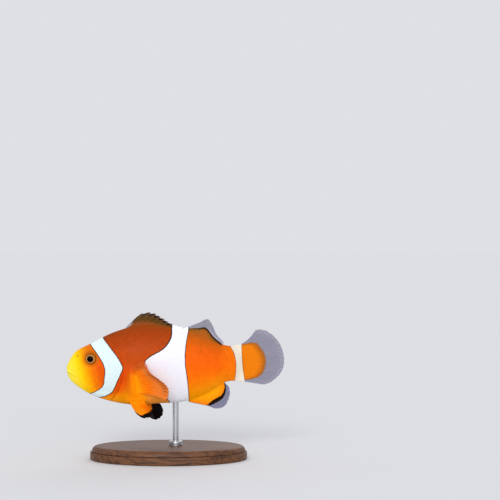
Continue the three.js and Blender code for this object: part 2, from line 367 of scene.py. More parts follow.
@dataclass(frozen=True)
class BodyPlan:
    """The body's sections from the snout to the root of the tail fin, and the curve it swims in.

    The point balance_s back stands over the middle of the base, and the body's axis runs at axis_height
    above the ground. A bend is where the curve starts and its radius. The rear end is an arc of root_radius
    about root_centre: the body is drawn in to it from root_start on, and closes over its last closing
    millimetres.
    """

    # Distance back, heights of back and belly, and half the width.
    stations: tuple[tuple[float, float, float, float], ...] = (
        (0, -1.7, -1.7, 0),
        (0.9, 1.2, -5.1, 2.3),
        (3.6, 4.9, -7.9, 3.9),
        (9.4, 7.9, -11.3, 5.2),
        (17, 11.7, -13.8, 6.1),
        (25.5, 14.2, -15, 6.5),
        (34, 14.3, -14.5, 6.1),
        (43, 13.3, -13.9, 5.1),
        (51, 10.8, -11.5, 3.9),
        (58, 7.6, -7.7, 2.7),
        (63, 6.7, -6.5, 1.7),
        (67.5, 7.2, -6.9, 0.5),
    )
    widest_above_middle: float = 0.4
    back_pinch: float = 0.26
    belly_pinch: float = 0.1
    head_bend: tuple[float, float] = (24, 172)
    tail_bend: tuple[float, float] = (36, 101)
    balance_s: float = 38
    axis_height: float = 35
    root_centre: tuple[float, float] = (53.5, 0.2)
    root_radius: float = 13.1
    root_start: float = 55
    closing: float = 2.4
    closing_squeeze: float = 0.05
    eye: tuple[float, float, float] = (9.9, 4.2, 2.3)

    def section(self, t: Array) -> tuple[Array, Array, Array, Array]:
        """The body's section at t, which runs from 0 at the snout to 1 at the tail.

        The snout is round, because the curves of back and belly run on into each other there.

        Args:
            t: 0 at the snout to 1 at the tail.

        Returns:
            Distance back, heights of back and belly, and half the width.
        """
        s, back, belly, half = zip(*self.stations)
        return (
            through(s[1], s, t),
            through(belly[1], back, t),
            through(back[1], belly, t),
            through(-half[1], half, t),
        )

    @property
    def length(self) -> float:
        """The distance back of the last section."""
        return self.stations[-1][0]

    @cached_property
    def table(self) -> tuple[Array, Array]:
        """Distances back for evenly spaced t, to read t from."""
        t = np.linspace(0, 1, 4001)
        return self.section(t)[0], t

    def t_at(self, s: Array) -> Array:
        """The t of a section at distance s."""
        return np.interp(s, *self.table)

    def section_at(self, s: Array) -> tuple[Array, Array, Array]:
        """Heights of back and belly, and half the width, at distance s."""
        return self.section(self.t_at(s))[1:]

    def from_eye(self, s: Array, h: Array) -> Array:
        """Distance from the middle of the eye, seen square from the side."""
        return np.hypot(s - self.eye[0], h - self.eye[2])

    def middle(self, back: Array, belly: Array, half: Array) -> Array:
        """The height where a section is widest."""
        return (back + belly) / 2 + self.widest_above_middle * np.minimum(1, half)

    def height_share(self, s: Array, h: Array) -> Array:
        """How high a point is on its section, from −1 at the belly to 1 at the back.

        Args:
            s: distances back.
            h: heights.

        Returns:
            The shares, 0 where the section is widest.
        """
        back, belly, half = self.section_at(s)
        middle = self.middle(back, belly, half)
        reach = np.where(h > middle, back - middle, middle - belly)
        return np.clip((h - middle) / np.maximum(reach, 0.01), -1, 1)

    def surface(self, t: Array, turn: Array) -> Array:
        """Points of the bare body.

        A section is an ellipse that narrows by the square of the sine of the turn towards back and belly.
        The rear end is drawn in to an arc, where the tail fin starts, and closes on the midline.

        Args:
            t: 0 at the snout to 1 at the tail.
            turn: the angle round the section, 0 on the fish's right and a quarter turn at its back.

        Returns:
            The points (s, w, h).
        """
        s, back, belly, half = self.section(t)
        up = np.sin(turn)
        middle = self.middle(back, belly, half)
        reach = np.where(up > 0, back - middle, middle - belly)
        pinch = 1 - np.where(up > 0, self.back_pinch, self.belly_pinch) * up * up
        h = middle + reach * up
        last = self.length
        closing = np.clip((s - last) / self.closing + 1, 0, 1)
        h = middle + (h - middle) * (1 - self.closing_squeeze * closing**2)
        centre_s, centre_h = self.root_centre
        end = centre_s + np.sqrt(np.maximum(1, self.root_radius**2 - (h - centre_h) ** 2))
        w = half * np.cos(turn) * pinch * np.sqrt(1 - closing**2)
        return np.stack([s - (last - end) * smoothstep(self.root_start, last, s), w, h], axis=-1)

    def place(self, points: Array) -> Array:
        """Points (s, w, h) in millimetres, bent along the swimming curve and put on the stand in metres.

        In front of and behind the straight part the midline is an arc to the fish's right. A point there
        moves to (start + r sin a − w sin a, r − r cos a + w cos a), where a = (s − start) / r, and lengths
        are counted from the balance point.

        Args:
            points: places (s, w, h) on the straight fish.

        Returns:
            Places (x, y, z) in metres.
        """
        s, w, h = np.moveaxis(points, -1, 0)
        (head_start, head_radius), (tail_start, tail_radius) = self.head_bend, self.tail_bend
        ahead = s < head_start
        bent = ahead | (s > tail_start)
        start = np.where(ahead, head_start, tail_start)
        radius = np.where(ahead, head_radius, tail_radius)
        angle = np.where(bent, (s - start) / radius, 0)
        straight = np.where(bent, 0, s - start)
        x = start + straight + (radius - w) * np.sin(angle) - self.balance_s
        y = radius * (1 - np.cos(angle)) + w * np.cos(angle)
        return np.stack([x, y, h + self.axis_height], axis=-1) * MM


# ------------------------------------------------------------------ markings


@dataclass(frozen=True)
class Bar:
    """A white bar round the body. Its two edges give s as a smooth curve of h."""

    front: Knots
    rear: Knots
    outline: float = 0.27
    wide_outline: float = 0.27

    def centre(self, h: Array) -> Array:
        """s half-way between the two edges."""
        return (curve(self.front, h) + curve(self.rear, h)) / 2

    def edge_distance(self, knots: Knots, s: Array, h: Array) -> Array:
        """Distance behind an edge, as the difference in s over the length of (1, slope)."""
        slope = (curve(knots, h + 0.05) - curve(knots, h - 0.05)) / 0.1
        return (s - curve(knots, h)) / np.sqrt(1 + slope**2)

    def distances(self, s: Array, h: Array) -> tuple[Array, Array]:
        """How far points are inside the white, and inside its dark outline, less than 0 outside them.

        Args:
            s: distances back.
            h: heights.

        Returns:
            Millimetres inside the white, and inside the outline.
        """
        front = self.edge_distance(self.front, s, h)
        rear = -self.edge_distance(self.rear, s, h)
        width = self.outline + (self.wide_outline - self.outline) * smoothstep(1, 7, h)
        return np.minimum(front, rear), np.minimum(front + width, rear + self.outline)


@dataclass(frozen=True)
class Markings:
    """The fish's colours, by place on the flank.

    The face's colours lie on lines that lean forwards by face_lean. Round the root of the pectoral fin a
    glow follows glow_place.
    """

    plan: BodyPlan
    length: float = 70
    head_bar: Bar = Bar(
        front=((-11.5, 8), (-9.2, 12.8), (-4, 15.2), (-1.2, 15.3), (3.8, 12.7), (8.2, 8.6)),
        rear=(
            (-12.3, 10.5), (-11.9, 13), (-10.6, 16.4), (-8.3, 18.4), (-6, 19.4), (-3, 20.8), (-0.8, 21.5),
            (1.5, 20.5), (6.7, 16.6), (10.3, 13.3),
        ),
    )
    middle_bar: Bar = Bar(
        front=(
            (-13.5, 38.4), (-9, 35), (-2.3, 31.1), (-0.6, 29.9), (1, 29.6), (3.2, 31.7), (5.2, 35.4),
            (9.4, 38.9), (13.8, 39.4),
        ),
        rear=((-13.4, 45.4), (-5.2, 44.6), (0, 43.9), (7.2, 44.1), (12.8, 45.2)),
        wide_outline=0.42,
    )
    stalk_bar: Bar = Bar(
        front=((-6.5, 62.6), (-3.4, 62.9), (1.8, 62.7), (4.6, 62), (6.2, 61.1)),
        rear=((-6.7, 66.6), (0.2, 65.4), (6.9, 65.3)),
        outline=0.14,
        wide_outline=0.14,
    )
    # By distance back, on lines that lean forwards and up.
    face: Ramp = Ramp(
        (
            (1.5, rgb(253, 228, 66)),
            (4, rgb(253, 214, 44)),
            (5.5, rgb(253, 202, 14)),
            (7, rgb(252, 182, 4)),
            (8.5, rgb(252, 158, 2)),
            (10, rgb(248, 128, 4)),
            (11.5, rgb(243, 110, 5)),
            (13, rgb(233, 90, 8)),
        )
    )
    # By height, from the belly at −1 to the back at 1.
    forebody: Ramp = Ramp(
        (
            (-1, rgb(253, 162, 14)),
            (-0.72, rgb(250, 138, 2)),
            (-0.4, rgb(222, 92, 5)),
            (0, rgb(197, 75, 10)),
            (0.4, rgb(186, 70, 11)),
            (0.8, rgb(166, 62, 12)),
            (1, rgb(150, 64, 14)),
        )
    )
    rear_body: Ramp = Ramp(
        (
            (-1, rgb(255, 162, 4)),
            (-0.74, rgb(255, 142, 3)),
            (-0.3, rgb(255, 110, 3)),
            (0.1, rgb(251, 99, 6)),
            (0.5, rgb(232, 95, 9)),
            (0.8, rgb(204, 92, 12)),
            (1, rgb(168, 88, 26)),
        )
    )
    forehead: Colour = rgb(196, 110, 20)
    orbit: Colour = rgb(184, 97, 12)
    behind_bar: Colour = rgb(214, 62, 5)
    stalk: Colour = rgb(252, 120, 6)
    tail_root: Colour = rgb(228, 122, 6)
    face_lean: float = 0.28
    fin_glow: Colour = rgb(255, 150, 5)
    # Painted light: a paler belly colour under and behind the pectoral fin, which lifts the shade that falls
    # there.
    under_fin_painted_light: Colour = rgb(255, 158, 58)
    glow_place: Knots = ((-14, 29), (-11, 27.3), (-8, 26), (-5, 25.8), (-1, 25.6))

    def flank(self, points: Array) -> Array:
        """The colour between the bars, as display shares, at points (s, w, h).

        Args:
            points: places (s, w, h).

        Returns:
            The colours.
        """
        s, _, h = np.moveaxis(points, -1, 0)
        q = self.plan.height_share(s, h)
        eye_s, _, eye_h = self.plan.eye
        face = self.face.at(s + self.face_lean * (h + 1))
        face = blend(face, self.forehead, 0.6 * smoothstep(0.35, 1, q) * smoothstep(3, 9, s))
        ring = bump(self.plan.from_eye(s, h) - 2.3, 0.9)
        ring = ring * (0.55 + 0.4 * smoothstep(-1.6, 1.4, h - eye_h + 0.5 * (s - eye_s)))
        face = blend(face, self.orbit, ring)
        fore = self.forebody.at(q)
        near = bump(np.maximum(0, s - curve(self.head_bar.rear, h) - 0.8), 2.6)
        low = between(-0.9, -0.6, -0.35, 0.1, q)
        fore = blend(fore, self.behind_bar, near * (0.12 + 0.6 * low) * fade(0.4, 0.9, q))
        glow = bump(s - curve(self.glow_place, h), 1.8 + 2.2 * fade(-12, -8, h))
        fore = blend(fore, self.fin_glow, 0.9 * glow * fade(-4.5, -1, h))
        # Painted light low on the belly under and behind the pectoral fin, where shade falls.
        fore = blend(fore, self.under_fin_painted_light, smoothstep(28, 32, s) * fade(-11, -9, h))
        rear = self.rear_body.at(q)
        rear = blend(rear, self.stalk, 0.7 * smoothstep(55, 61, s))
        rear = blend(rear, self.tail_root, smoothstep(64, 65.2, s))
        skin = blend(face, fore, smoothstep(-1, 1, s - self.head_bar.centre(h)))
        return blend(skin, rear, smoothstep(-1, 1, s - self.middle_bar.centre(h)))

    def bars(self, points: Array) -> tuple[Array, Array]:
        """How far points (s, w, h) are inside the white bars, and inside their dark outlines.

        Args:
            points: places (s, w, h).

        Returns:
            Millimetres inside the nearest white, and inside the nearest outline.
        """
        s, _, h = np.moveaxis(points, -1, 0)
        found = [bar.distances(s, h) for bar in (self.head_bar, self.middle_bar, self.stalk_bar)]
        return (
            np.maximum.reduce([white for white, _ in found]),
            np.maximum.reduce([dark for _, dark in found]),
        )

    def values(self, points: Array, shade: Array | float = 1.0) -> dict[str, Array]:
        """What the skin's finish reads, with the colour between the bars times shade.

        Args:
            points: places (s, w, h).
            shade: what the colour between the bars is multiplied by.

        Returns:
            The values by name.
        """
        white, dark = self.bars(points)
        tint = light(self.flank(points)) * (np.ones(points.shape[:-1]) * shade)[..., None]
        return {"tint": tint, "bar": white, "line": dark, "along": points[..., 0] / self.length}


# ------------------------------------------------------------------ skin


@dataclass(frozen=True)
class Relief:
    """The skin's raised and sunk features, as heights along its normal by place on the flank.

    The furrow behind the cheek and the rear edge of the gill cover are arcs, given by centre and radius.
    """

    plan: BodyPlan
    socket_radius: float = 1.95
    socket_depth: float = 1.3
    mouth: Knots = ((-1, -2.5), (0, -2.7), (2.2, -3.45), (4.4, -4.7), (5.4, -5.5))
    mouth_corner: float = 4.4
    nostril: tuple[float, float] = (4.7, 3.3)
    cheek: tuple[float, float, float] = (6.4, -1.5, 8.3)
    gill: tuple[float, float, float] = (5.2, -1.6, 16.4)
    fin_root: Knots = ((-11.4, 26), (-10.4, 25.7), (-1.2, 24.9), (-0.4, 24.8))
    pelvic_w: float = 2.7

    def height(self, points: Array) -> Array:
        """The total height at points (s, w, h), in millimetres.

        Args:
            points: places (s, w, h).

        Returns:
            Millimetres along the normal.
        """
        s, w, h = np.moveaxis(points, -1, 0)
        flank = smoothstep(0.6, 1.6, np.abs(w))
        return (
            self.socket(s, h) * flank
            + self.lips(s, h)
            + self.nostrils(s, h) * flank
            + self.gill_cover(s, h) * smoothstep(0.3, 1.2, np.abs(w))
            + self.fin_lobe(s, h) * flank
            + self.pelvic_lobe(s, w, h)
            + self.lateral_line(s, h) * flank
        )

    def from_nostril(self, s: Array, h: Array) -> Array:
        """Distance from the middle of the nostril."""
        return np.hypot(s - self.nostril[0], h - self.nostril[1])

    def past_gill(self, s: Array, h: Array) -> Array:
        """Distance behind the rear edge of the gill cover, which is an arc."""
        seam_s, seam_h, seam_radius = self.gill
        return np.hypot(s - seam_s, h - seam_h) - seam_radius

    def socket(self, s: Array, h: Array) -> Array:
        """A round pit for the eye, a rim round it and a shallow furrow outside the rim.

        Args:
            s: distances back.
            h: heights.

        Returns:
            Millimetres along the normal.
        """
        d = self.plan.from_eye(s, h)
        pit = self.socket_depth * fade(self.socket_radius - 0.3, self.socket_radius + 0.22, d)
        return 0.07 * bump(d - 2.4, 0.24) - 0.04 * bump(d - 2.95, 0.3) - pit

    def lips(self, s: Array, h: Array) -> Array:
        """The mouth's slit between two lips, with a fold behind each lip.

        Args:
            s: distances back.
            h: heights.

        Returns:
            Millimetres along the normal.
        """
        off = h - curve(self.mouth, s)
        shown = fade(self.mouth_corner - 0.5, self.mouth_corner + 0.5, s)
        wide = 0.75 + 0.25 * fade(0.5, 3.5, s)
        slit = -0.34 * bump(off, 0.13)
        lip = 0.13 * bump(off - 0.5 * wide, 0.34) + 0.13 * bump(off + 0.55 * wide, 0.36)
        lip = lip * (0.35 + 0.65 * smoothstep(-0.2, 1.4, s))
        fold = -0.09 * bump(off - 1.25 * wide, 0.2) - 0.08 * bump(off + 1.35 * wide, 0.22)
        corner = -0.1 * bump(np.hypot(s - self.mouth_corner, off), 0.4)
        return shown * (slit + lip + fold) + corner

    def nostrils(self, s: Array, h: Array) -> Array:
        """A small pit with a raised rim."""
        d = self.from_nostril(s, h)
        return 0.09 * bump(d - 0.42, 0.16) - 0.4 * bump(d, 0.22)

    def gill_cover(self, s: Array, h: Array) -> Array:
        """The furrow behind the cheek, and the step and slit at the gill cover's rear edge.

        Args:
            s: distances back.
            h: heights.

        Returns:
            Millimetres along the normal.
        """
        cheek_s, cheek_h, cheek_radius = self.cheek
        behind = np.hypot(s - cheek_s, h - cheek_h) - cheek_radius
        reach = between(-10, -8, 2.6, 4.4, h) * (s > cheek_s)
        furrow = (0.06 * bump(behind + 0.4, 0.3) - 0.15 * bump(behind, 0.22)) * reach
        past = self.past_gill(s, h)
        reach = between(-14.5, -12.5, 3.5, 6.5, h) * (s > self.gill[0])
        flap = 0.08 * np.exp(np.minimum(0, past) / 1.1) * fade(-0.1, 0.15, past)
        drop = -0.2 * np.exp(-np.maximum(0, past) / 1.8) * smoothstep(-0.1, 0.15, past)
        return furrow + reach * (flap + drop - 0.12 * bump(past - 0.16, 0.14))

    def fin_lobe(self, s: Array, h: Array) -> Array:
        """The fleshy root of the pectoral fin.

        Args:
            s: distances back.
            h: heights.

        Returns:
            Millimetres along the normal.
        """
        off = s - curve(self.fin_root, h)
        reach = between(-12.2, -9.2, -3, 0.6, h)
        return 0.85 * bump(off, np.where(off < 0, 2.2, 1)) * reach

    def pelvic_lobe(self, s: Array, w: Array, h: Array) -> Array:
        """The low fleshy ridge from which each pelvic fin grows."""
        reach = between(21.6, 23.8, 27.8, 31, s) * fade(-11, -9, h)
        return 0.5 * bump(np.abs(w) - self.pelvic_w, 1.3) * reach

    def lateral_line(self, s: Array, h: Array) -> Array:
        """A faint row of raised pores, which runs a little below the back to under the soft dorsal fin.

        Args:
            s: distances back.
            h: heights.

        Returns:
            Millimetres along the normal.
        """
        back, _, _ = self.plan.section_at(s)
        off = h - back + 3.3 - 1.2 * bump(s - 21, 5)
        reach = between(22, 24, 53, 56, s)
        return 0.04 * bump(off, 0.2) * reach * (0.6 + 0.4 * np.cos(2 * np.pi * s / 0.95))


@dataclass(frozen=True)
class Hide:
    """The outside of the body: the bare form with its relief. The skin lies just inside it."""

    plan: BodyPlan
    relief: Relief
    skin_depth: float = 0.09
    ending: tuple[float, float] = (66.2, 67.4)
    step: float = 1e-4

    def normals(self, t: Array, turn: Array) -> Array:
        """The bare form's normals, as the cross product of its slopes in the turn and in t.

        At the tip of the snout, where the slopes are 0, the normal points forwards.

        Args:
            t: 0 at the snout to 1 at the tail.
            turn: the angle round the section.

        Returns:
            Normals (s, w, h) of length 1.
        """
        ahead, behind = np.maximum(t - self.step, 0), np.minimum(t + self.step, 1)
        backward = self.plan.surface(behind, turn) - self.plan.surface(ahead, turn)
        around = self.plan.surface(t, turn + self.step) - self.plan.surface(t, turn - self.step)
        normal = -np.cross(backward, around)
        size = np.linalg.norm(normal, axis=-1, keepdims=True)
        return np.where(size > 1e-9, normal / np.maximum(size, 1e-9), (-1.0, 0.0, 0.0))

    def points(self, t: Array, turn: Array, lift: Array | float) -> Array:
        """Points (s, w, h) that stand lift and the relief's height outside the bare form.

        Both run out to 0 at the rear end, inside the root of the tail fin.

        Args:
            t: 0 at the snout to 1 at the tail.
            turn: the angle round the section.
            lift: millimetres outside the bare form.

        Returns:
            The points.
        """
        t, turn = np.broadcast_arrays(t, turn)
        base = self.plan.surface(t, turn)
        height = (self.relief.height(base) + lift) * fade(*self.ending, self.plan.section(t)[0])
        return base + self.normals(t, turn) * height[..., None]


def even_turn(theta: Array) -> Array:
    """The turn round a section that gives steps of about equal length: theta − squeeze · sin 2 theta."""
    squeeze = 0.185
    return theta - squeeze * np.sin(2 * theta)


@dataclass(frozen=True)
class Skin:
    """The skin of head and body as one closed surface."""

    hide: Hide
    markings: Markings
    columns: int = 430
    rows: int = 220
    head_end: float = 22
    head_density: float = 1.8

    def lattice(self) -> tuple[Array, Array]:
        """The t of each column, closer together on the head, and each one's share of the body's length.

        Length is measured along the mean of the curves of back, belly and flank.

        Returns:
            The t and the share for each column.
        """
        t = np.linspace(0, 1, 6001)
        section = np.stack(self.hide.plan.section(t))
        ahead, *aside = np.diff(section) ** 2
        steps = np.sqrt(ahead + sum(aside) / 3)
        density = np.where(section[0, 1:] < self.head_end, self.head_density, 1)
        count = np.concatenate([[0], np.cumsum(steps * density)])
        length = np.concatenate([[0], np.cumsum(steps)])
        at = np.linspace(0, count[-1], self.columns)
        return np.interp(at, count, t), np.interp(at, count, length / length[-1])

    def build(self, finish: bpy.types.Material) -> bpy.types.Object:
        """Makes the skin, which stands for all the solids of flesh.

        Args:
            finish: its material.

        Returns:
            The skin.
        """
        t, share = self.lattice()
        theta = np.linspace(0, 2 * np.pi, self.rows + 1) - np.pi / 2
        t, turn = np.meshgrid(t, even_turn(theta), indexing="ij")
        points = self.hide.points(t, turn, -self.hide.skin_depth)
        uv = np.stack(np.meshgrid(share, np.linspace(0, 1, self.rows + 1), indexing="ij"), axis=-1)
        # The skin's colour carries painted shade in the mouth, the nostrils and the eye sockets.
        sheet = Sheet(self.hide.plan.place(points), uv, self.markings.values(points, self.painted_recess_shade(points)))
        nodes = ("head", "lower_jaw", "gill_cover_left", "gill_cover_right", "trunk", "tail_stalk")
        return make_piece("skin", sheet, finish, nodes)

    def painted_recess_shade(self, points: Array) -> Array:
        """Painted shade: the share of colour left where mouth, nostrils and eye sockets are darkened as if
        in shade.

        Args:
            points: places (s, w, h).

        Returns:
            1 in the open, and less in the shade.
        """
        s, _, h = np.moveaxis(points, -1, 0)
        relief = self.hide.relief
        # Painted shade: the colour is darkened along the mouth's slit, in the nostrils and in the eye
        # sockets.
        mouth = bump(h - curve(relief.mouth, s), 0.2) * fade(3.9, 4.9, s)
        nostril = bump(relief.from_nostril(s, h), 0.3)
        socket = fade(1.7, 2.15, relief.plan.from_eye(s, h))
        return (1 - 0.35 * mouth) * (1 - 0.75 * nostril) * (1 - 0.85 * socket)


@dataclass(frozen=True)
class ScaleCoat:
    """Overlapping scales on one side, in staggered rows from back to belly.

    A scale is a flat lens with a round rear edge. Its front lies under the skin and its rear edge stands
    over the root of the next one. Lengths of a scale are shares of the pitch, and widths of the distance
    between two rows.
    """

    hide: Hide
    markings: Markings
    side: Side
    rows: int = 40
    first: float = 5.5
    last: float = 66.5
    pitch: float = 0.85
    stations: int = 7
    around: int = 8
    forward: float = 0.15
    half_length: float = 0.95
    half_width: float = 0.6
    roundness: float = 2.4
    root_depth: float = 0.15
    lift: float = -0.07
    thickness: float = 0.022
    full_size: float = 0.9
    faintest: float = 0.03
    size_jitter: float = 0.05
    tone_jitter: float = 0.02
    patch: float = 0.0015

    def row_step(self, s: Array) -> Array:
        """The distance between two rows, as the length of half a section over the number of rows.

        Args:
            s: distances back.

        Returns:
            Millimetres between two rows.
        """
        back, belly, half = self.hide.plan.section_at(s)
        tall = (back - belly) / 2
        return np.pi * np.sqrt((tall**2 + half**2) / 2) / self.rows

    def turn_at(self, share: Array) -> Array:
        """The turn at a share of the way from back to belly on this side."""
        return even_turn(np.pi / 2 - self.side.value * np.pi * share)

    def centres(self) -> tuple[Array, Array]:
        """Where the scales sit: s and the share of the way from back to belly.

        Returns:
            Both, scale by scale.
        """
        line = np.linspace(self.first, self.last, 2000)
        count = np.concatenate([[0], np.cumsum(np.diff(line) / (self.pitch * self.row_step(line[1:])))])
        column = np.arange(0, math.floor(count[-1]))
        s = np.interp(column, count, line)
        s, row = np.meshgrid(s, np.arange(self.rows), indexing="ij")
        share = (row + 0.5 + 0.5 * (column[:, None] % 2 - 0.5)) / self.rows
        return s.ravel(), share.ravel()

    def covered(self, points: Array) -> Array:
        """How strongly scales stand out at points (s, w, h).

        The snout, the throat, the gill slit, the fins' roots and a ring round the eye are bare, and give 0.

        Args:
            points: places (s, w, h).

        Returns:
            0 where the skin is bare, to 1.
        """
        s, _, h = np.moveaxis(points, -1, 0)
        relief = self.hide.relief
        root_s, root_h = self.hide.plan.root_centre
        before_root = self.hide.plan.root_radius - np.hypot(s - root_s, h - root_h)
        on_body = np.where(s < root_s, 1, smoothstep(0.5, 2.2, before_root))
        face = smoothstep(0, 4.5, s - 6.2 - 0.35 * np.abs(h + 1.5))
        throat = smoothstep(-10.8, -8.5, h + np.maximum(0, s - 15) * 0.8)
        off_slit = smoothstep(0.25, 0.9, np.abs(relief.past_gill(s, h) - 0.3))
        gill = np.maximum(off_slit, smoothstep(4.5, 6.5, h))
        q = self.hide.plan.height_share(s, h)
        by_dorsal = 1 - between(20, 22, 57, 59, s) * smoothstep(0.9, 0.985, q)
        by_anal = 1 - between(42, 44, 57, 59, s) * smoothstep(0.9, 0.985, -q)
        from_pectoral = np.abs(s - 0.5 - curve(relief.fin_root, h))
        from_pectoral = from_pectoral + 3 * smoothstep(-2, 2, h) + 3 * fade(-12, -10, h)
        by_fins = by_dorsal * by_anal * smoothstep(1.2, 2.6, from_pectoral)
        by_eye = smoothstep(2.9, 4.4, relief.plan.from_eye(s, h))
        return on_body * face * throat * by_eye * gill * by_fins

    def roots(self, from_s: float, to_s: float) -> tuple[Array, Array, Array]:
        """The scales that show between two distances back: s, share of the way down and strength.

        Args:
            from_s: where they begin.
            to_s: where they end.

        Returns:
            The three values, scale by scale, with two more axes.
        """
        plan = self.hide.plan
        s, share = self.centres()
        strength = self.covered(plan.surface(plan.t_at(s), self.turn_at(share)))
        keep = (strength > self.faintest) & (s >= from_s) & (s < to_s)
        return s[keep, None, None], share[keep, None, None], strength[keep, None, None]

    def height(self, x: Array, angle: Array) -> Array:
        """A scale's height over the outer form: a straight climb to the rear edge, plus half a lens."""
        climb = self.lift + (self.lift + self.root_depth) * (x - 1) / 2
        return climb + 0.5 * self.thickness * np.sqrt(np.maximum(0, 1 - x**6)) * np.sin(angle)

    def build(self, finish: bpy.types.Material, name: str, from_s: float, to_s: float) -> bpy.types.Object:
        """Makes the scales whose roots lie between two distances from the snout.

        Along a scale x runs from −1 to 1, in steps that shrink towards its round rear edge. Its half width
        is (1 − |x| to the power of its roundness) to the power 1/2, a little more towards the rear.

        Args:
            finish: their material.
            name: the piece's name.
            from_s: where they begin.
            to_s: where they end.

        Returns:
            The scales as one piece.
        """
        plan, depth = self.hide.plan, self.hide.skin_depth
        s, share, strength = self.roots(from_s, to_s)
        random = np.random.default_rng(SEED + self.side.value)
        size = random.uniform(1 - self.size_jitter, 1 + self.size_jitter, s.shape)
        tone = random.uniform(1 - self.tone_jitter, 1 + self.tone_jitter, s.shape)
        step = self.row_step(s)
        x = 1 - 2 * (1 - np.linspace(0, 1, self.stations)[None, :, None]) ** 1.7
        angle = np.linspace(0, 2 * np.pi, self.around + 1)[None, None, :]
        wide = np.maximum(0, 1 - np.abs(x) ** self.roundness) ** 0.5 * (1 + 0.08 * x)
        ahead = s + step * size * self.pitch * (self.forward + self.half_length * x) + 0 * angle
        aside = share + wide * np.cos(angle) * self.half_width * size / self.rows
        small = np.minimum(1, step / self.full_size)
        raised = small * (self.height(x, angle) + depth) - 0.03 * (1 - strength)
        points = self.hide.points(plan.t_at(ahead), self.turn_at(aside), raised - depth)
        shade = 1 + strength * (tone * (1 - 0.04 * smoothstep(0.5, 1, x)) - 1) + 0 * angle
        root = np.stack([s / self.markings.length, 0.5 + self.side.value * share / 2.02], axis=-1)
        uv = root + self.patch * np.stack(np.broadcast_arrays(x, np.cos(angle)), axis=-1)
        sheet = Sheet(plan.place(points), uv, self.markings.values(points, shade))
        return make_piece(name, sheet, finish)


# ------------------------------------------------------------------ eyes


@dataclass(frozen=True)
class Eye:
    """One eyeball, a flattened ball whose clear front and coloured parts are one surface."""

    plan: BodyPlan
    side: Side
    radius: float = 2.08
    depth: float = 1.25
    dome: float = 0.08
    dome_radius: float = 1.1
    rows: int = 72
    columns: int = 128
    colours: Ramp = Ramp(
        (
            (0, rgb(8, 5, 5)),
            (1.06, rgb(9, 5, 5)),
            (1.14, rgb(62, 36, 24)),
            (1.22, rgb(190, 140, 96)),
            (1.34, rgb(192, 136, 76)),
            (1.5, rgb(178, 110, 42)),
            (1.75, rgb(172, 98, 24)),
            (2.08, rgb(160, 88, 16)),
        )
    )

    def tint(self, out: Array, angle: Array) -> Array:
        """The colour at a distance out from the pupil's middle and an angle round it.

        The iris is streaked by a sum of two sines of the angle, and darker above.

        Args:
            out: millimetres from the pupil's middle.
            angle: the angle round it.

        Returns:
            Amounts of light.
        """
        streaks = np.sin(23 * angle + 1.7 * np.sin(5 * angle)) * 0.5 + np.sin(41 * angle + 2 * out) * 0.3
        on_iris = between(1.4, 1.55, 1.85, 2.05, out)
        shade = 1 + 0.12 * streaks * on_iris - 0.28 * on_iris * smoothstep(0, 1, np.sin(angle))
        return light(self.colours.at(out)) * shade[..., None]

    def build(self, finish: bpy.types.Material) -> bpy.types.Object:
        """Makes the eyeball: a half circle turned round the line of sight, with a low dome in front.

        Args:
            finish: its material.

        Returns:
            The eyeball.
        """
        s, w, h = self.plan.eye
        polar = np.linspace(0, np.pi, self.rows)[:, None]
        angle = np.linspace(0, 2 * np.pi, self.columns + 1)[None, :]
        out = self.radius * np.sin(polar) + 0 * angle
        dome = self.dome * bump(out, self.dome_radius) * (np.cos(polar) > 0)
        aside = self.side.value * (w + self.depth * np.cos(polar) + dome)
        points = np.stack([s + out * np.cos(angle), aside, h + out * np.sin(angle)], axis=-1)
        way = 0.5 * polar / np.pi
        uv = 0.5 + np.stack([way * np.cos(angle), way * np.sin(angle)], axis=-1)
        name = f"eye_{self.side.word}"
        sheet = Sheet(self.plan.place(points), uv, {"tint": self.tint(out, angle)})
        return make_piece(f"{name}_ball", sheet, finish, (name,))


# ------------------------------------------------------------------ fins


@dataclass(frozen=True)
class Rays:
    """Where each ray of a fin starts, where it points, how long it is and how far its middle arches.

    The square direction is the one in which the web is thick.
    """

    foot: Array
    aim: Array
    length: Array
    square: Array
    arch: Array | float = 0


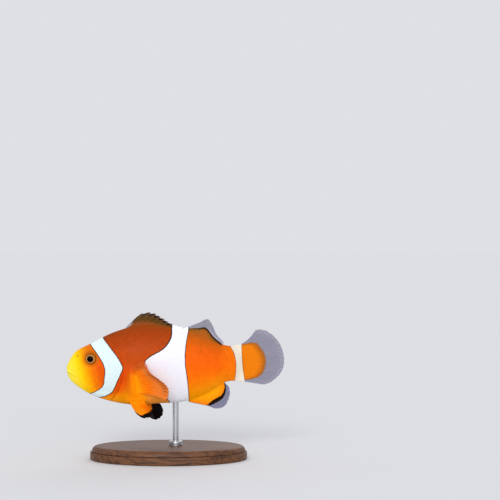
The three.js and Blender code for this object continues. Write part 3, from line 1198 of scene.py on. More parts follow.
@dataclass(frozen=True)
class Fin:
    """A fin: a thin web that is ribbed by its rays on both faces.

    A point of the web is foot + aim · r · length, where u runs from 0 to 1 across the rays and r from 0 at
    the root to 1 at the edge. Its middle arches by 4 · arch · r · (1 − r) towards the first ray. Each face
    stands half the thickness off it along the square direction.

    Lengths and angles of the rays are given at equal steps from the first to the last. The corners are the
    shares of length cut off at the two ends. Half the thickness of a ray goes from ray_half at the root to
    ray_tip at the edge, and of the web between rays from web_half to web_tip.
    """

    plan: BodyPlan
    markings: Markings
    name: str
    rays: int
    lengths: tuple[float, ...]
    corners: tuple[float, float] = (0, 0)
    corner_reach: float = 0.1
    notch: float = 0.012
    columns_per_ray: int = 12
    rows: int = 48
    ray_half: float = 0.24
    ray_tip: float = 0.08
    web_half: float = 0.1
    web_tip: float = 0.035
    branches: tuple[float, float] = (0.3, 0.62)
    ray_start: float = 0
    root_swell: float = 0.9
    root_reach: float = 1.8
    root_depth: float = 0.9
    cup: float = 0
    wave: float = 0.3
    trim: float = 0.06
    side_margin: float = 0.12
    rim_round: float = 0.03
    end_round: float = 0.02
    uv_margin: float = 0.02
    barred: bool = True

    def ray_lines(self, u: Array) -> Rays:
        """The ray at each u, from 0 at the first to 1 at the last."""
        raise NotImplementedError

    def among_rays(self, u: Array) -> Array:
        """Each place across the fin, counted in rays: 0 on the first, 1 on the second and so on.

        The web runs on past the first and the last ray by the side margin, as a share of a step.
        """
        return u * (self.rays - 1 + 2 * self.side_margin) - self.side_margin

    def ridges(self, u: Array, r: Array) -> Array:
        """How much of a ray there is at each point, 1 on its middle line.

        A ray parts in two at the first branching point, and each half again at the second. Its branches
        lie a growing share of the step between rays to either side.

        Args:
            u: place across the rays, from 0 to 1.
            r: place along them, from 0 to 1.

        Returns:
            From 0 between the rays to 1 on them.
        """
        first, second = self.branches
        spread = 0.22 * smoothstep(first, first + 0.85, r)
        fork = 0.1 * smoothstep(second, second + 0.63, r)
        width = 0.15 - 0.06 * smoothstep(first, first + 0.7, r)
        place = self.among_rays(u)
        off = place - np.round(np.clip(place, 0, self.rays - 1))
        parts = [bump(np.abs(off) - spread - side * fork, width) for side in (-1, 1)]
        return np.maximum(*parts) * smoothstep(self.ray_start, self.ray_start + 0.22, r)

    def kept(self, u: Array) -> Array:
        """The share of a ray's length that is kept near the two rounded corners of the fin.

        Towards a corner the share falls by cut · (1 − (1 − (1 − x)²)^(1/2)), where x runs from 0 at the end
        ray to 1 at the corner's reach.

        Args:
            u: place across the rays, from 0 to 1.

        Returns:
            The shares.
        """
        share = np.ones_like(u)
        for cut, way in zip(self.corners, (u, 1 - u)):
            x = np.minimum(1, way / self.corner_reach)
            share = share - cut * (1 - np.sqrt(1 - (1 - x) ** 2))
        return share

    def rooted(self, half: Array, u: Array, out: Array) -> Array:
        """Half the thickness with the root's swelling, at a distance out along the rays."""
        return half + self.root_swell * np.exp(-out / self.root_reach)

    def edge(self, u: Array) -> Array:
        """The length left between two rays, as a share of the rays' length."""
        return 1 - self.notch * np.sin(np.pi * self.among_rays(u)) ** 2

    def colours(self, u: Array, r: Array, margin: Array, points: Array) -> tuple[Array, Array]:
        """The fin's display colour and how much it covers.

        Args:
            u: place across the rays.
            r: place along them.
            margin: millimetres to the edge.
            points: the points (s, w, h).

        Returns:
            The colour, and 1 where the fin is solid down to 0 where it is clear.
        """
        raise NotImplementedError

    def reach(self, u: Array) -> Array:
        """How far the web reaches from the root, in millimetres."""
        return (self.ray_lines(u).length * self.kept(u) - self.trim) * self.edge(u)

    def half_thickness(self, u: Array, r: Array) -> Array:
        """Half the web's thickness.

        Ray and web thin out as the power 0.7 of r. The edge and the two ends are round: there it is taken
        times (1 − (1 − x)²)^(1/2), where x runs from 0 at the end to 1 where the round begins. At the root
        it closes in a short straight taper.

        Args:
            u: place across the rays, from 0 to 1.
            r: place along them, from 0 to 1.

        Returns:
            Millimetres.
        """
        ray = self.ray_half + (self.ray_tip - self.ray_half) * r**0.7
        web = self.web_half + (self.web_tip - self.web_half) * r**0.7
        half = self.rooted(web + (ray - web) * self.ridges(u, r), u, r * self.reach(u))
        rim = np.minimum(1, (1 - r) / self.rim_round)
        ends = np.minimum(1, np.minimum(u, 1 - u) / self.end_round)
        half = half * np.sqrt(1 - (1 - rim) ** 2) * np.sqrt(1 - (1 - ends) ** 2)
        return half * np.minimum(1, r / self.end_round)

    def middle_surface(self, u: Array, r: Array) -> Array:
        """The points (s, w, h) of the web's middle surface, with its wave, its cup and the rays' arch.

        Args:
            u: place across the rays, from 0 to 1.
            r: place along them, from 0 to 1.

        Returns:
            The points.
        """
        rays = self.ray_lines(u)
        hill = 4 * r * (1 - r)
        sway = self.wave * np.sin(2 * np.pi * (1.6 * u + 0.15)) * r**2 + self.cup * hill
        up = np.cross(rays.aim, rays.square)
        out = rays.aim * (r * self.reach(u))[..., None]
        return rays.foot + out + rays.square * sway[..., None] + up * (rays.arch * hill)[..., None]

    def values(self, u: Array, r: Array, middle: Array) -> dict[str, Array]:
        """What the fin's finish reads at each point.

        Args:
            u: place across the rays, from 0 to 1.
            r: place along them, from 0 to 1.
            middle: points (s, w, h) of the middle surface.

        Returns:
            The values by name.
        """
        margin = (1 - r) * self.reach(u)
        tint, cover = self.colours(u + 0 * r, r + 0 * u, margin, middle)
        none = np.full_like(margin, NO_BAR)
        white, dark = self.markings.bars(middle) if self.barred else (none, none)
        along_body = middle[..., 0] / self.markings.length
        return {"tint": light(tint), "cover": cover, "bar": white, "line": dark, "along": along_body}

    def build(self, finish: bpy.types.Material) -> bpy.types.Object:
        """Makes the fin as one closed surface, which goes out on one face and comes back on the other.

        Args:
            finish: its material.

        Returns:
            The web.
        """
        u = np.linspace(0, 1, self.columns_per_ray * self.rays + 1)
        outward = np.linspace(0, 1, self.rows + 1)
        r = np.concatenate([outward, outward[-2::-1]])[:, None]
        face = np.concatenate([np.ones(self.rows + 1), -np.ones(self.rows)])[:, None]
        middle = self.middle_surface(u, r)
        off = face * self.half_thickness(u, r)
        points = middle + self.ray_lines(u).square * off[..., None]
        border = self.uv_margin
        out = 0.25 * (1 + face) + border + (0.5 - 2 * border) * r + 0 * u
        uv = np.stack([out, border + (1 - 2 * border) * u + 0 * r], axis=-1)
        sheet = Sheet(self.plan.place(points), uv, self.values(u, r, middle))
        return make_piece(f"{self.name}_web", sheet, finish, (self.name,))


@dataclass(frozen=True)
class MidlineFin(Fin):
    """A fin on the midline of back (side 1) or belly (side −1). Its rays lean back from upright."""

    side: int = 1
    front: float = 0
    rear: float = 1
    lean: tuple[float, ...] = (0, 0)
    sunk: float = 0.15
    hollow: float = 0.35

    def ray_lines(self, u: Array) -> Rays:
        """Rays that start a little inside the body, lean degrees behind upright."""
        s = self.front + u * (self.rear - self.front)
        back, belly, _ = self.plan.section_at(s)
        tilt = np.radians(along(self.lean, u))
        foot_h = back - self.root_depth if self.side > 0 else belly + self.root_depth
        aim = upright(np.sin(tilt), self.side * np.cos(tilt))
        return Rays(upright(s, foot_h), aim, along(self.lengths, u) + self.root_depth, ACROSS)

    def rooted(self, half: Array, u: Array, out: Array) -> Array:
        """The body's own width under its edge, which runs out above it in a hollow curve.

        Half that width is side · pinch · ((deep + (deep² + hollow²)^(1/2)) / tall)^(1/2), where deep is the
        depth under the body's edge and side is half the body's width. It fades out above the edge.
        """
        back, belly, side = self.plan.section_at(self.front + u * (self.rear - self.front))
        middle = self.plan.middle(back, belly, side)
        above = self.side > 0
        tall = back - middle if above else middle - belly
        pinch = 1 - (self.plan.back_pinch if above else self.plan.belly_pinch)
        deep = self.root_depth - self.sunk - out * np.cos(np.radians(along(self.lean, u)))
        width = side * pinch * np.sqrt((deep + np.hypot(deep, self.hollow)) / tall)
        return np.hypot(half, width * np.exp(np.minimum(0, deep) / self.root_reach))


@dataclass(frozen=True)
class SpinyDorsal(MidlineFin):
    """The front half of the dorsal fin: orange-brown with a near-black edge between pale spines."""

    base: Colour = rgb(138, 68, 18)
    brown: Colour = rgb(88, 58, 18)
    grey: Colour = rgb(66, 50, 38)
    black: Colour = rgb(20, 11, 9)
    spine: Colour = rgb(128, 92, 50)
    tip: Colour = rgb(196, 176, 182)
    veil: Colour = rgb(150, 136, 150)

    def behind_spine(self, u: Array) -> Array:
        """How far each place is behind the spine in front of it, from 0 to 1 at the next spine."""
        return self.among_rays(u) % 1

    def edge(self, u: Array) -> Array:
        """Each web starts low on the spine in front and rises to the tip of the next one."""
        f = self.behind_spine(u)
        return 1 - self.notch * between(0.02, 0.2, 0.25, 1, f)

    def colours(self, u: Array, r: Array, margin: Array, points: Array) -> tuple[Array, Array]:
        """Brown grows towards the edge. The web ends in a black wedge, and each spine in a pale tip."""
        ridge = self.ridges(u, r)
        f = self.behind_spine(u)
        past_front = smoothstep(0.1, 0.2, u)
        tint = blend(self.markings.flank(points), self.base, smoothstep(0.02, 0.32, r))
        tint = blend(tint, self.brown, smoothstep(0.3, 0.6, r))
        tint = blend(tint, self.grey, 0.8 * smoothstep(0.6, 0.95, r) * fade(0.35, 0.6, u))
        tint = blend(tint, self.spine, 0.5 * ridge * smoothstep(0.35, 0.9, r))
        front = fade(0.08, 0.13, u + 0.06 * r) * smoothstep(0.25, 0.45, r)
        tint = blend(tint, self.veil, front)
        wedge = fade(0.75, 1.25, margin + 0.25 * f) * (1 - 0.55 * ridge) * past_front
        tint = blend(tint, self.black, 0.97 * wedge)
        pale = fade(0.06, 0.22, margin) * past_front
        tips = ridge * fade(0.4, 0.75, margin) * past_front
        tint = blend(tint, self.tip, 0.85 * np.maximum(pale, tips))
        return tint, 0.97 - 0.2 * pale - 0.45 * front


@dataclass(frozen=True)
class SoftDorsal(MidlineFin):
    """The rear half of the dorsal fin: an orange core, a dark line and a clear edge."""

    core_edge: tuple[float, ...] = (0.2, 1.7, 2.8, 3.6, 3.2, 2.5, 1.7, 1.3, 1)
    line: float = 0.45
    core: Colour = rgb(186, 86, 10)
    olive: Colour = rgb(126, 84, 20)
    dark: Colour = rgb(42, 20, 8)
    clear: Colour = rgb(122, 120, 138)
    # Painted highlight along the clear edge.
    rim: Colour = rgb(196, 188, 206)

    def colours(self, u: Array, r: Array, margin: Array, points: Array) -> tuple[Array, Array]:
        """The core ends at a set distance from the edge, and the dark line lies just inside its end."""
        inside = margin - along(self.core_edge, u)
        rear = 0.35 + 0.65 * smoothstep(0.22, 0.45, u)
        tint = blend(self.markings.flank(points), self.core, smoothstep(0.1, 0.5, r))
        tint = blend(tint, self.olive, 0.85 * fade(0.4, 2.3, inside))
        line = fade(self.line - 0.1, self.line + 0.4, inside)
        tint = blend(tint, self.dark, 0.95 * rear * line)
        solid = smoothstep(-0.16, 0.12, inside)
        ends = 1 - between(0.2, 0.36, 0.6, 0.75, u)
        # Painted highlight: the clear edge is paler along its rim. The film is a pale band just outside the
        # core's end.
        rim = fade(0.12, 0.5, margin) * (0.35 + 0.65 * ends)
        film = bump(inside + 0.35, 0.3) * smoothstep(0.55, 0.65, u)
        pale = np.maximum(rim, 0.8 * film)
        tint = blend(blend(self.clear, self.rim, pale), tint, solid)
        return tint, 0.55 + 0.42 * solid + 0.25 * (1 - solid) * pale


@dataclass(frozen=True)
class AnalFin(MidlineFin):
    """The anal fin: an orange core, a black band that widens to the rear and a clear edge."""

    black_outer: tuple[float, ...] = (0.6, 0.5, 0.2, 0.5, 1.3, 2, 2.6, 2.8, 2.4, 2.2, 2.2)
    black_width: tuple[float, ...] = (0.1, 0.1, 0.2, 0.5, 0.9, 1.25, 1.45, 1.4, 1.1, 0.8, 0.5)
    core: Colour = rgb(248, 134, 4)
    black: Colour = rgb(22, 10, 4)
    clear: Colour = rgb(120, 120, 148)
    # Painted highlight along the clear edge.
    rim: Colour = rgb(164, 162, 190)

    def colours(self, u: Array, r: Array, margin: Array, points: Array) -> tuple[Array, Array]:
        """From the edge inwards: clear, then the black band, then the core."""
        outer = along(self.black_outer, u)
        width = along(self.black_width, u)
        tint = blend(self.markings.flank(points), self.core, smoothstep(0.15, 0.7, r))
        black = fade(-0.16, 0.2, margin - outer - width)
        tint = blend(tint, self.black, black * smoothstep(0.2, 0.45, u))
        solid = smoothstep(-0.14, 0.12, margin - outer)
        # Painted highlight: the clear edge is paler along its rim.
        rim = fade(0.15, 0.5, margin)
        tint = blend(blend(self.clear, self.rim, 0.6 * rim), tint, solid)
        return tint, 0.72 + 0.26 * solid


@dataclass(frozen=True)
class TailFin(Fin):
    """The tail fin, whose rays fan out from the curved end of the body."""

    s: float = 64
    low: float = -6.1
    high: float = 6.3
    root_radius: float = 12
    rise: tuple[float, ...] = (0, 0)
    bow: tuple[float, ...] = (0, 0)
    clear_width: tuple[float, ...] = (11, 7.6, 7.3, 7.6, 7.6, 7.8, 7.8, 7, 9.2)
    core: Colour = rgb(228, 122, 6)
    core_edge: Colour = rgb(168, 92, 26)
    clear: Colour = rgb(124, 121, 143)

    def ray_lines(self, u: Array) -> Rays:
        """Rays from an arc through s, rise degrees up from straight back."""
        h = self.low + u * (self.high - self.low)
        climb = np.radians(along(self.rise, u))
        s = self.s + np.sqrt(self.root_radius**2 - h * h) - self.root_radius
        aim = upright(np.cos(climb), np.sin(climb))
        length = along(self.lengths, u)
        return Rays(upright(s, h), aim, length, ACROSS, along(self.bow, u) * length)

    def colours(self, u: Array, r: Array, margin: Array, points: Array) -> tuple[Array, Array]:
        """An orange lobe with a brownish edge, then clear web with fine rays."""
        inside = margin - along(self.clear_width, u)
        tint = blend(self.core_edge, self.core, smoothstep(-0.2, 3.2, inside))
        solid = smoothstep(-0.6, 0.6, inside)
        ridge = self.ridges(u, r)
        tint = blend(self.clear, tint, solid)
        tint = tint * (1 + 0.06 * (1 - solid) * ridge)[..., None]
        cover = 0.58 + 0.38 * solid + 0.06 * (1 - solid) * ridge - 0.12 * fade(0, 3, margin)
        return tint, cover


@dataclass(frozen=True)
class PairedFin(Fin):
    """A fin on one flank, without bars. Each ray stands out from the fish's plane and rises within it."""

    barred: bool = False
    side: Side = Side.LEFT
    top: tuple[float, float, float] = (0, 0, 0)
    bottom: tuple[float, float, float] = (0, 0, 0)
    out: tuple[float, ...] = (0, 0)
    rise: tuple[float, ...] = (0, 0)
    bow: tuple[float, ...] = (0, 0)

    def aims(self, u: Array) -> Array:
        """The rays' directions: (cos out · cos rise, side · sin out, cos out · sin rise).

        Args:
            u: place across the rays, from 0 to 1.

        Returns:
            Directions of length 1.
        """
        away = np.radians(along(self.out, u))
        climb = np.radians(along(self.rise, u))
        return np.stack(
            [np.cos(away) * np.cos(climb), self.side.value * np.sin(away), np.cos(away) * np.sin(climb)],
            axis=-1,
        )

    def ray_lines(self, u: Array) -> Rays:
        """Rays from a straight root line. The square direction is normal to a ray and to the fan's turn."""
        sided = np.array([1, self.side.value, 1])
        start = np.array(self.top) * sided
        root = np.array(self.bottom) * sided - start
        aim = self.aims(u)
        length = along(self.lengths, u)
        fan = self.aims(np.minimum(1, u + 0.05)) - self.aims(np.maximum(0, u - 0.05))
        across = root + fan * (5 * length)[:, None]
        square = np.cross(aim, across)
        square = square / np.linalg.norm(square, axis=-1, keepdims=True)
        return Rays(start + root * u[:, None], aim, length, square, along(self.bow, u) * length)


@dataclass(frozen=True)
class PectoralFin(PairedFin):
    """A pectoral fin: orange, bright at the root, with dark dashes between the rays near the edge."""

    root: Colour = rgb(255, 160, 4)
    middle: Colour = rgb(250, 118, 6)
    outer: Colour = rgb(244, 130, 48)
    upper: Colour = rgb(216, 104, 38)
    dash: Colour = rgb(104, 48, 30)
    clear: Colour = rgb(212, 158, 140)

    def colours(self, u: Array, r: Array, margin: Array, points: Array) -> tuple[Array, Array]:
        """Bright near the root, then duller. Dashes fill the gaps between the rays near the edge."""
        ridge = self.ridges(u, r)
        tint = blend(self.markings.flank(points), self.middle, smoothstep(0.1, 0.4, r))
        tint = blend(tint, self.root, 0.9 * bump(r - 0.14, 0.17) * smoothstep(0.2, 0.45, u))
        tint = blend(tint, self.outer, smoothstep(0.4, 0.72, r))
        upper = fade(0.1, 0.34, u)
        tint = blend(tint, self.upper, 0.9 * upper * smoothstep(0.1, 0.35, r))
        reach = 1.6 + 1.5 * bump(u - 0.5, 0.22)
        dashes = (1 - ridge) ** 2 * between(0.15, 0.5, 0.7 * reach, 1.7 * reach, margin)
        tint = blend(tint, self.dash, 0.72 * dashes * between(0.2, 0.42, 0.8, 0.97, u))
        edge = fade(0.1, 0.4, margin)
        tint = blend(tint, self.clear, 0.6 * edge)
        thin = (1 - ridge) * smoothstep(0.45, 0.9, r)
        cover = 0.98 - 0.3 * edge - 0.1 * thin - 0.4 * upper * smoothstep(0.15, 0.45, r)
        return tint, cover


@dataclass(frozen=True)
class PelvicFin(PairedFin):
    """A pelvic fin: orange with a black rim that widens towards the inner rays."""

    rim: tuple[float, ...] = (1.9, 1.3, 1.9, 2.8, 3.8)
    orange: Colour = rgb(250, 138, 10)
    inner: Colour = rgb(226, 108, 8)
    black: Colour = rgb(12, 9, 10)

    def colours(self, u: Array, r: Array, margin: Array, points: Array) -> tuple[Array, Array]:
        """The rim's inner edge is soft, and its width is set from the outer to the inner rays."""
        tint = blend(self.orange, self.inner, smoothstep(0.4, 1, u))
        tint = blend(self.markings.flank(points), tint, smoothstep(0.1, 0.4, r))
        rim = fade(-0.3, 0.35, margin - along(self.rim, u))
        return blend(tint, self.black, rim), np.ones_like(u) * 0.98


# ------------------------------------------------------------------ stand


@dataclass(frozen=True)
class Stand:
    """The display stand: an oval wooden base, a steel rod up to the belly and a collar at its foot.

    The base's edge rises from a rounded foot to a rounded lip. Behind the lip lies a ledge, and from the
    undercut over it a quarter round goes up to the top.
    """

    plan: BodyPlan
    length: float = 58
    width: float = 36
    height: float = 5
    foot_round: float = 0.5
    lip_height: float = 2.9
    lip_round: float = 0.25
    ledge: float = 0.9
    undercut: float = 0.25
    quarter_round: float = 1.85
    rod_s: float = 40.6
    rod_radius: float = 1.1
    rod_sunk: float = 1
    collar_radius: float = 2.5
    collar_height: float = 1.8
    collar_round: float = 0.4
    collar_ease: float = 0.12
    collar_gap: float = 0.04
    groove: tuple[float, float] = (0.6, 0.98)
    groove_depth: float = 0.16
    groove_slope: float = 0.12
    sides: int = 192

    def rod_axis(self) -> tuple[float, float, float]:
        """Where the rod meets the belly, in metres.

        Returns:
            The place (x, y, z).
        """
        _, belly, _ = self.plan.section_at(np.array(self.rod_s))
        x, y, z = self.plan.place(np.array([self.rod_s, 0, float(belly)]))
        return float(x), float(y), float(z)

    def turned(self, profile: Array, stretch: tuple[float, float], centre: tuple[float, float]) -> Sheet:
        """A profile carried round an oval or a circle.

        Args:
            profile: rows of share, inset and height: a point lies at share · (half axis − inset).
            stretch: the two half axes.
            centre: the middle of the oval, in metres.

        Returns:
            The surface. Its UV is the way along the profile and the way round.
        """
        angle = np.linspace(0, 2 * np.pi, self.sides + 1)[None, :]
        share, inset, z = (profile[:, k, None] for k in range(3))
        x = centre[0] / MM + share * (stretch[0] - inset) * np.cos(angle)
        y = centre[1] / MM + share * (stretch[1] - inset) * np.sin(angle)
        points = np.stack([x, y, z + 0 * angle], axis=-1) * MM
        steps = np.linalg.norm(np.diff(profile * (stretch[1], 1, 1), axis=0), axis=1)
        walk = np.concatenate([[0], np.cumsum(steps)])[:, None]
        uv = np.stack([0.01 + 0.98 * walk / walk[-1] + 0 * angle, angle / (2 * np.pi) + 0 * walk], axis=-1)
        return Sheet(points, uv)

    def arc(self, centre: tuple[float, float], radius: float, start: float, end: float) -> Array:
        """Part of a circle as rows of share 1, inset and height, from start to end in degrees."""
        angle = np.radians(np.linspace(start, end, 9))
        return np.stack(
            [np.ones(9), centre[0] - radius * np.cos(angle), centre[1] + radius * np.sin(angle)], axis=-1
        )

    def build_base(self, finish: bpy.types.Material) -> bpy.types.Object:
        """The base: its edge is eased below, upright, and has a small ledge under a quarter round.

        Args:
            finish: its material.

        Returns:
            The base.
        """
        flat = np.linspace(0, 1, 12)[:, None]
        inner = self.ledge - self.undercut + self.quarter_round
        profile = np.concatenate(
            [
                np.hstack([flat, self.foot_round + 0 * flat, 0 * flat]),
                self.arc((self.foot_round, self.foot_round), self.foot_round, -90, 0),
                self.arc((self.lip_round, self.lip_height - self.lip_round), self.lip_round, 0, 90),
                np.array([[1, self.ledge, self.lip_height]]),
                self.arc((inner, self.height - self.quarter_round), self.quarter_round, 0, 90),
                np.hstack([flat[::-1], inner + 0 * flat, self.height + 0 * flat]),
            ]
        )
        sheet = self.turned(profile, (self.length / 2, self.width / 2), (0, 0))
        return make_piece("stand_base_wood", sheet, finish, ("stand_base",), crease=38)

    def build_rod(self, finish: bpy.types.Material) -> bpy.types.Object:
        """The rod, from inside the base to inside the belly.

        Args:
            finish: its material.

        Returns:
            The rod.
        """
        x, y, z = self.rod_axis()
        levels = np.linspace(self.height - self.rod_sunk, z / MM + self.rod_sunk, 24)
        levels = np.concatenate([levels[:1], levels, levels[-1:]])
        share = np.ones_like(levels)
        share[[0, -1]] = 0
        profile = np.stack([share, 0 * levels, levels], axis=-1)
        sheet = self.turned(profile, (self.rod_radius, self.rod_radius), (x, y))
        return make_piece("stand_rod_steel", sheet, finish, ("stand_rod",), crease=40)

    def build_collar(self, finish: bpy.types.Material) -> bpy.types.Object:
        """The collar: a turned ring with a groove round it and a rounded top edge.

        Args:
            finish: its material.

        Returns:
            The collar.
        """
        x, y, _ = self.rod_axis()
        low, high = self.height, self.height + self.collar_height
        hole = self.collar_radius - self.rod_radius - self.collar_gap
        top = (self.collar_round, high - self.collar_round)
        start, end = self.groove
        wall = (
            (hole, 0),
            (self.collar_ease, 0),
            (0, self.collar_ease),
            (0, start),
            (self.groove_depth, start + self.groove_slope),
            (self.groove_depth, end - self.groove_slope),
            (0, end),
        )
        profile = np.concatenate(
            [
                np.array([[1, inset, low + rise] for inset, rise in wall]),
                self.arc(top, self.collar_round, 0, 90),
                np.array([[1, hole, high], [1, hole, low]]),
            ]
        )
        sheet = self.turned(profile, (self.collar_radius, self.collar_radius), (x, y))
        return make_piece("stand_collar_steel", sheet, finish, ("stand_collar",), crease=30)


# ------------------------------------------------------------------ finishes


class Tree:
    """A material's nodes, with short ways to add and join them."""

    def __init__(self, name: str) -> None:
        """Starts a material with its surface shader.

        Args:
            name: the material's name.
        """
        self.material = bpy.data.materials.new(name)
        self.material.use_nodes = True
        self.tree = self.material.node_tree
        self.shader = self.tree.nodes["Principled BSDF"]

    def feed(self, socket: bpy.types.NodeSocket, value: object) -> None:
        """Joins a socket to another, or sets its value."""
        if isinstance(value, bpy.types.NodeSocket):
            self.tree.links.new(value, socket)
        else:
            socket.default_value = value

    def add(
        self, kind: str, inputs: dict[str | int, object], out: str | int = 0, **settings: object
    ) -> bpy.types.NodeSocket:
        """Adds a node.

        Args:
            kind: the node's type, without its prefix.
            inputs: sockets or values, by input name or number.
            out: the output wanted.
            settings: the node's own options.

        Returns:
            The output socket.
        """
        node = self.tree.nodes.new("ShaderNode" + kind)
        for key, value in settings.items():
            setattr(node, key, value)
        for key, value in inputs.items():
            self.feed(node.inputs[key], value)
        return node.outputs[out]

    def finish(self, **inputs: object) -> bpy.types.Material:
        """Sets the surface shader's inputs, named with _ for each space, and gives the material."""
        for key, value in inputs.items():
            self.feed(self.shader.inputs[key.replace("_", " ")], value)
        return self.material

    def read(self, name: str, out: str = "Fac") -> bpy.types.NodeSocket:
        """A value of the mesh."""
        return self.add("Attribute", {}, out, attribute_name=name)

    def math(self, operation: str, *values: object) -> bpy.types.NodeSocket:
        """A sum, product or other operation."""
        return self.add("Math", dict(enumerate(values)), operation=operation)

    def mix(self, share: object, first: object, second: object, kind: str = "MIX") -> bpy.types.NodeSocket:
        """Two colours blended."""
        return self.add("Mix", {0: share, 6: first, 7: second}, 2, data_type="RGBA", blend_type=kind)

    def shade(self, colour: object, share: object) -> bpy.types.NodeSocket:
        """A colour with its red, green and blue all times a share."""
        grey = self.add("CombineColor", dict.fromkeys((0, 1, 2), share))
        return self.mix(1.0, colour, grey, "MULTIPLY")

    def step(self, value: object, low: float, high: float) -> bpy.types.NodeSocket:
        """A soft step from 0, at low, to 1, at high."""
        inputs = {"Value": value, "From Min": low, "From Max": high}
        return self.add("MapRange", inputs, interpolation_type="SMOOTHSTEP")

    def stretch(self, value: object, start: float, end: float) -> bpy.types.NodeSocket:
        """A value from 0 to 1 moved to the range from start to end."""
        return self.add("MapRange", {"Value": value, "To Min": start, "To Max": end})

    def noise(
        self, per_mm: float, detail: float = 2, scale: tuple[float, float, float] = (1, 1, 1)
    ) -> bpy.types.NodeSocket:
        """Noise from 0 to 1 on the object's own coordinates.

        Args:
            per_mm: waves to a millimetre.
            detail: how many finer waves lie over them.
            scale: how much denser the waves are along X, Y and Z.

        Returns:
            The noise.
        """
        place = self.add("TexCoord", {}, "Object")
        place = self.add("Mapping", {"Vector": place, "Scale": scale})
        return self.add("TexNoise", {"Vector": place, "Scale": per_mm / MM, "Detail": detail})

    def bumps(self, height: object, strength: float, distance: float) -> bpy.types.NodeSocket:
        """A normal from a height, with distance in millimetres."""
        return self.add("Bump", {"Height": height, "Strength": strength, "Distance": distance * MM})


def paint(colour: Colour) -> tuple[float, float, float, float]:
    """A display colour as a shader takes it."""
    red, green, blue = (float(c) for c in light(colour))
    return (red, green, blue, 1)


@dataclass(frozen=True)
class BarPaint:
    """White bars with dark outlines, painted over another colour. Skin and fins share them.

    The white is cool on the head, warmer on the body and creamy at the tail. The edges blend over twice
    the softness and wander by the wobble, in millimetres.
    """

    softness: float
    wobble: float
    outline: Colour = rgb(46, 22, 14)
    cool: Colour = rgb(222, 238, 237)
    white: Colour = rgb(241, 242, 247)
    warm: Colour = rgb(240, 236, 244)
    cream: Colour = rgb(230, 219, 200)

    def whites(self, tree: Tree) -> bpy.types.NodeSocket:
        """Two whites in soft clouds between the cool and the cream, by place along the body.

        Args:
            tree: the material's nodes.

        Returns:
            The white of each place.
        """
        place = tree.read("along")
        pale = tree.mix(tree.noise(0.25, 3), paint(self.warm), paint(self.white))
        pale = tree.mix(tree.step(place, 0.3, 0.42), paint(self.cool), pale)
        return tree.mix(tree.step(place, 0.8, 0.88), pale, paint(self.cream))

    def over(self, tree: Tree, colour: object) -> tuple[bpy.types.NodeSocket, bpy.types.NodeSocket]:
        """The colour with the bars over it, and the share of white.

        Args:
            tree: the material's nodes.
            colour: what lies under the bars.

        Returns:
            The colour and the share.
        """
        shift = tree.stretch(tree.noise(1.4), -self.wobble, self.wobble)
        white, dark = (
            tree.step(tree.math("ADD", tree.read(name), shift), -self.softness, self.softness)
            for name in ("bar", "line")
        )
        colour = tree.mix(dark, colour, paint(self.outline))
        return tree.mix(white, colour, self.whites(tree)), white


@dataclass(frozen=True)
class SkinFinish:
    """Wet skin with white bars. Skin and scales share it."""

    name: str = "clownfish_skin"
    bars: BarPaint = BarPaint(softness=0.07, wobble=0.1)
    mottle: tuple[float, float] = (0.82, 1.16)
    speckle: tuple[float, float] = (0.9, 1.08)
    roughness: tuple[float, float] = (0.4, 0.54)

    def make(self) -> bpy.types.Material:
        """Builds the material: the flank's colour in soft and fine spots, then the bars.

        Returns:
            The material.
        """
        tree = Tree(self.name)
        mottle = tree.stretch(tree.noise(0.55, 4), *self.mottle)
        speckle = tree.stretch(tree.noise(3.5, 3), *self.speckle)
        colour = tree.shade(tree.read("tint", "Color"), tree.math("MULTIPLY", mottle, speckle))
        colour, _ = self.bars.over(tree, colour)
        return tree.finish(
            Base_Color=colour,
            Roughness=tree.stretch(tree.noise(0.9, 3), *self.roughness),
            Normal=tree.bumps(tree.noise(6, 3), 0.35, 0.03),
            Subsurface_Weight=0.12,
            Subsurface_Radius=(1.0, 0.45, 0.2),
            Subsurface_Scale=0.0009,
            Coat_Weight=0.02,
            Coat_Roughness=0.2,
            Specular_IOR_Level=0.05,
            IOR=1.4,
        )


@dataclass(frozen=True)
class FinFinish:
    """Fin web: covering where it is coloured and see-through where it is clear."""

    name: str = "clownfish_fin"
    bars: BarPaint = BarPaint(softness=0.06, wobble=0.14)
    bar_cover: float = 0.96
    mottle: tuple[float, float] = (0.86, 1.12)
    roughness: tuple[float, float] = (0.34, 0.5)

    def make(self) -> bpy.types.Material:
        """Builds the material. Both faces of the web let light through by the same share.

        Returns:
            The material.
        """
        tree = Tree(self.name)
        mottle = tree.stretch(tree.noise(1.2, 4), *self.mottle)
        colour, white = self.bars.over(tree, tree.shade(tree.read("tint", "Color"), mottle))
        cover = tree.math("MAXIMUM", tree.read("cover"), tree.math("MULTIPLY", white, self.bar_cover))
        return tree.finish(
            Base_Color=colour,
            Alpha=cover,
            Roughness=tree.stretch(tree.noise(1.5, 3), *self.roughness),
            Normal=tree.bumps(tree.noise(5, 2), 0.3, 0.02),
            Specular_IOR_Level=0.05,
            Subsurface_Weight=0.1,
            Subsurface_Radius=(1.0, 0.5, 0.25),
            Subsurface_Scale=0.0005,
            Coat_Weight=0.02,
            Coat_Roughness=0.2,
            IOR=1.4,
        )


@dataclass(frozen=True)
class EyeFinish:
    """A wet eye: coloured parts under a clear front."""

    name: str = "clownfish_eye"
    grain: tuple[float, float] = (0.8, 1.2)
    roughness: tuple[float, float] = (0.3, 0.42)

    def make(self) -> bpy.types.Material:
        """Builds the material.

        Returns:
            The material.
        """
        tree = Tree(self.name)
        grain = tree.stretch(tree.noise(4, 4), *self.grain)
        return tree.finish(
            Base_Color=tree.shade(tree.read("tint", "Color"), grain),
            Roughness=tree.stretch(tree.noise(5, 2), *self.roughness),
            Normal=tree.bumps(tree.noise(5, 3), 0.25, 0.02),
            Specular_IOR_Level=0.0,
            Coat_Weight=0.06,
            Coat_Roughness=0.04,
            Coat_IOR=1.5,
        )


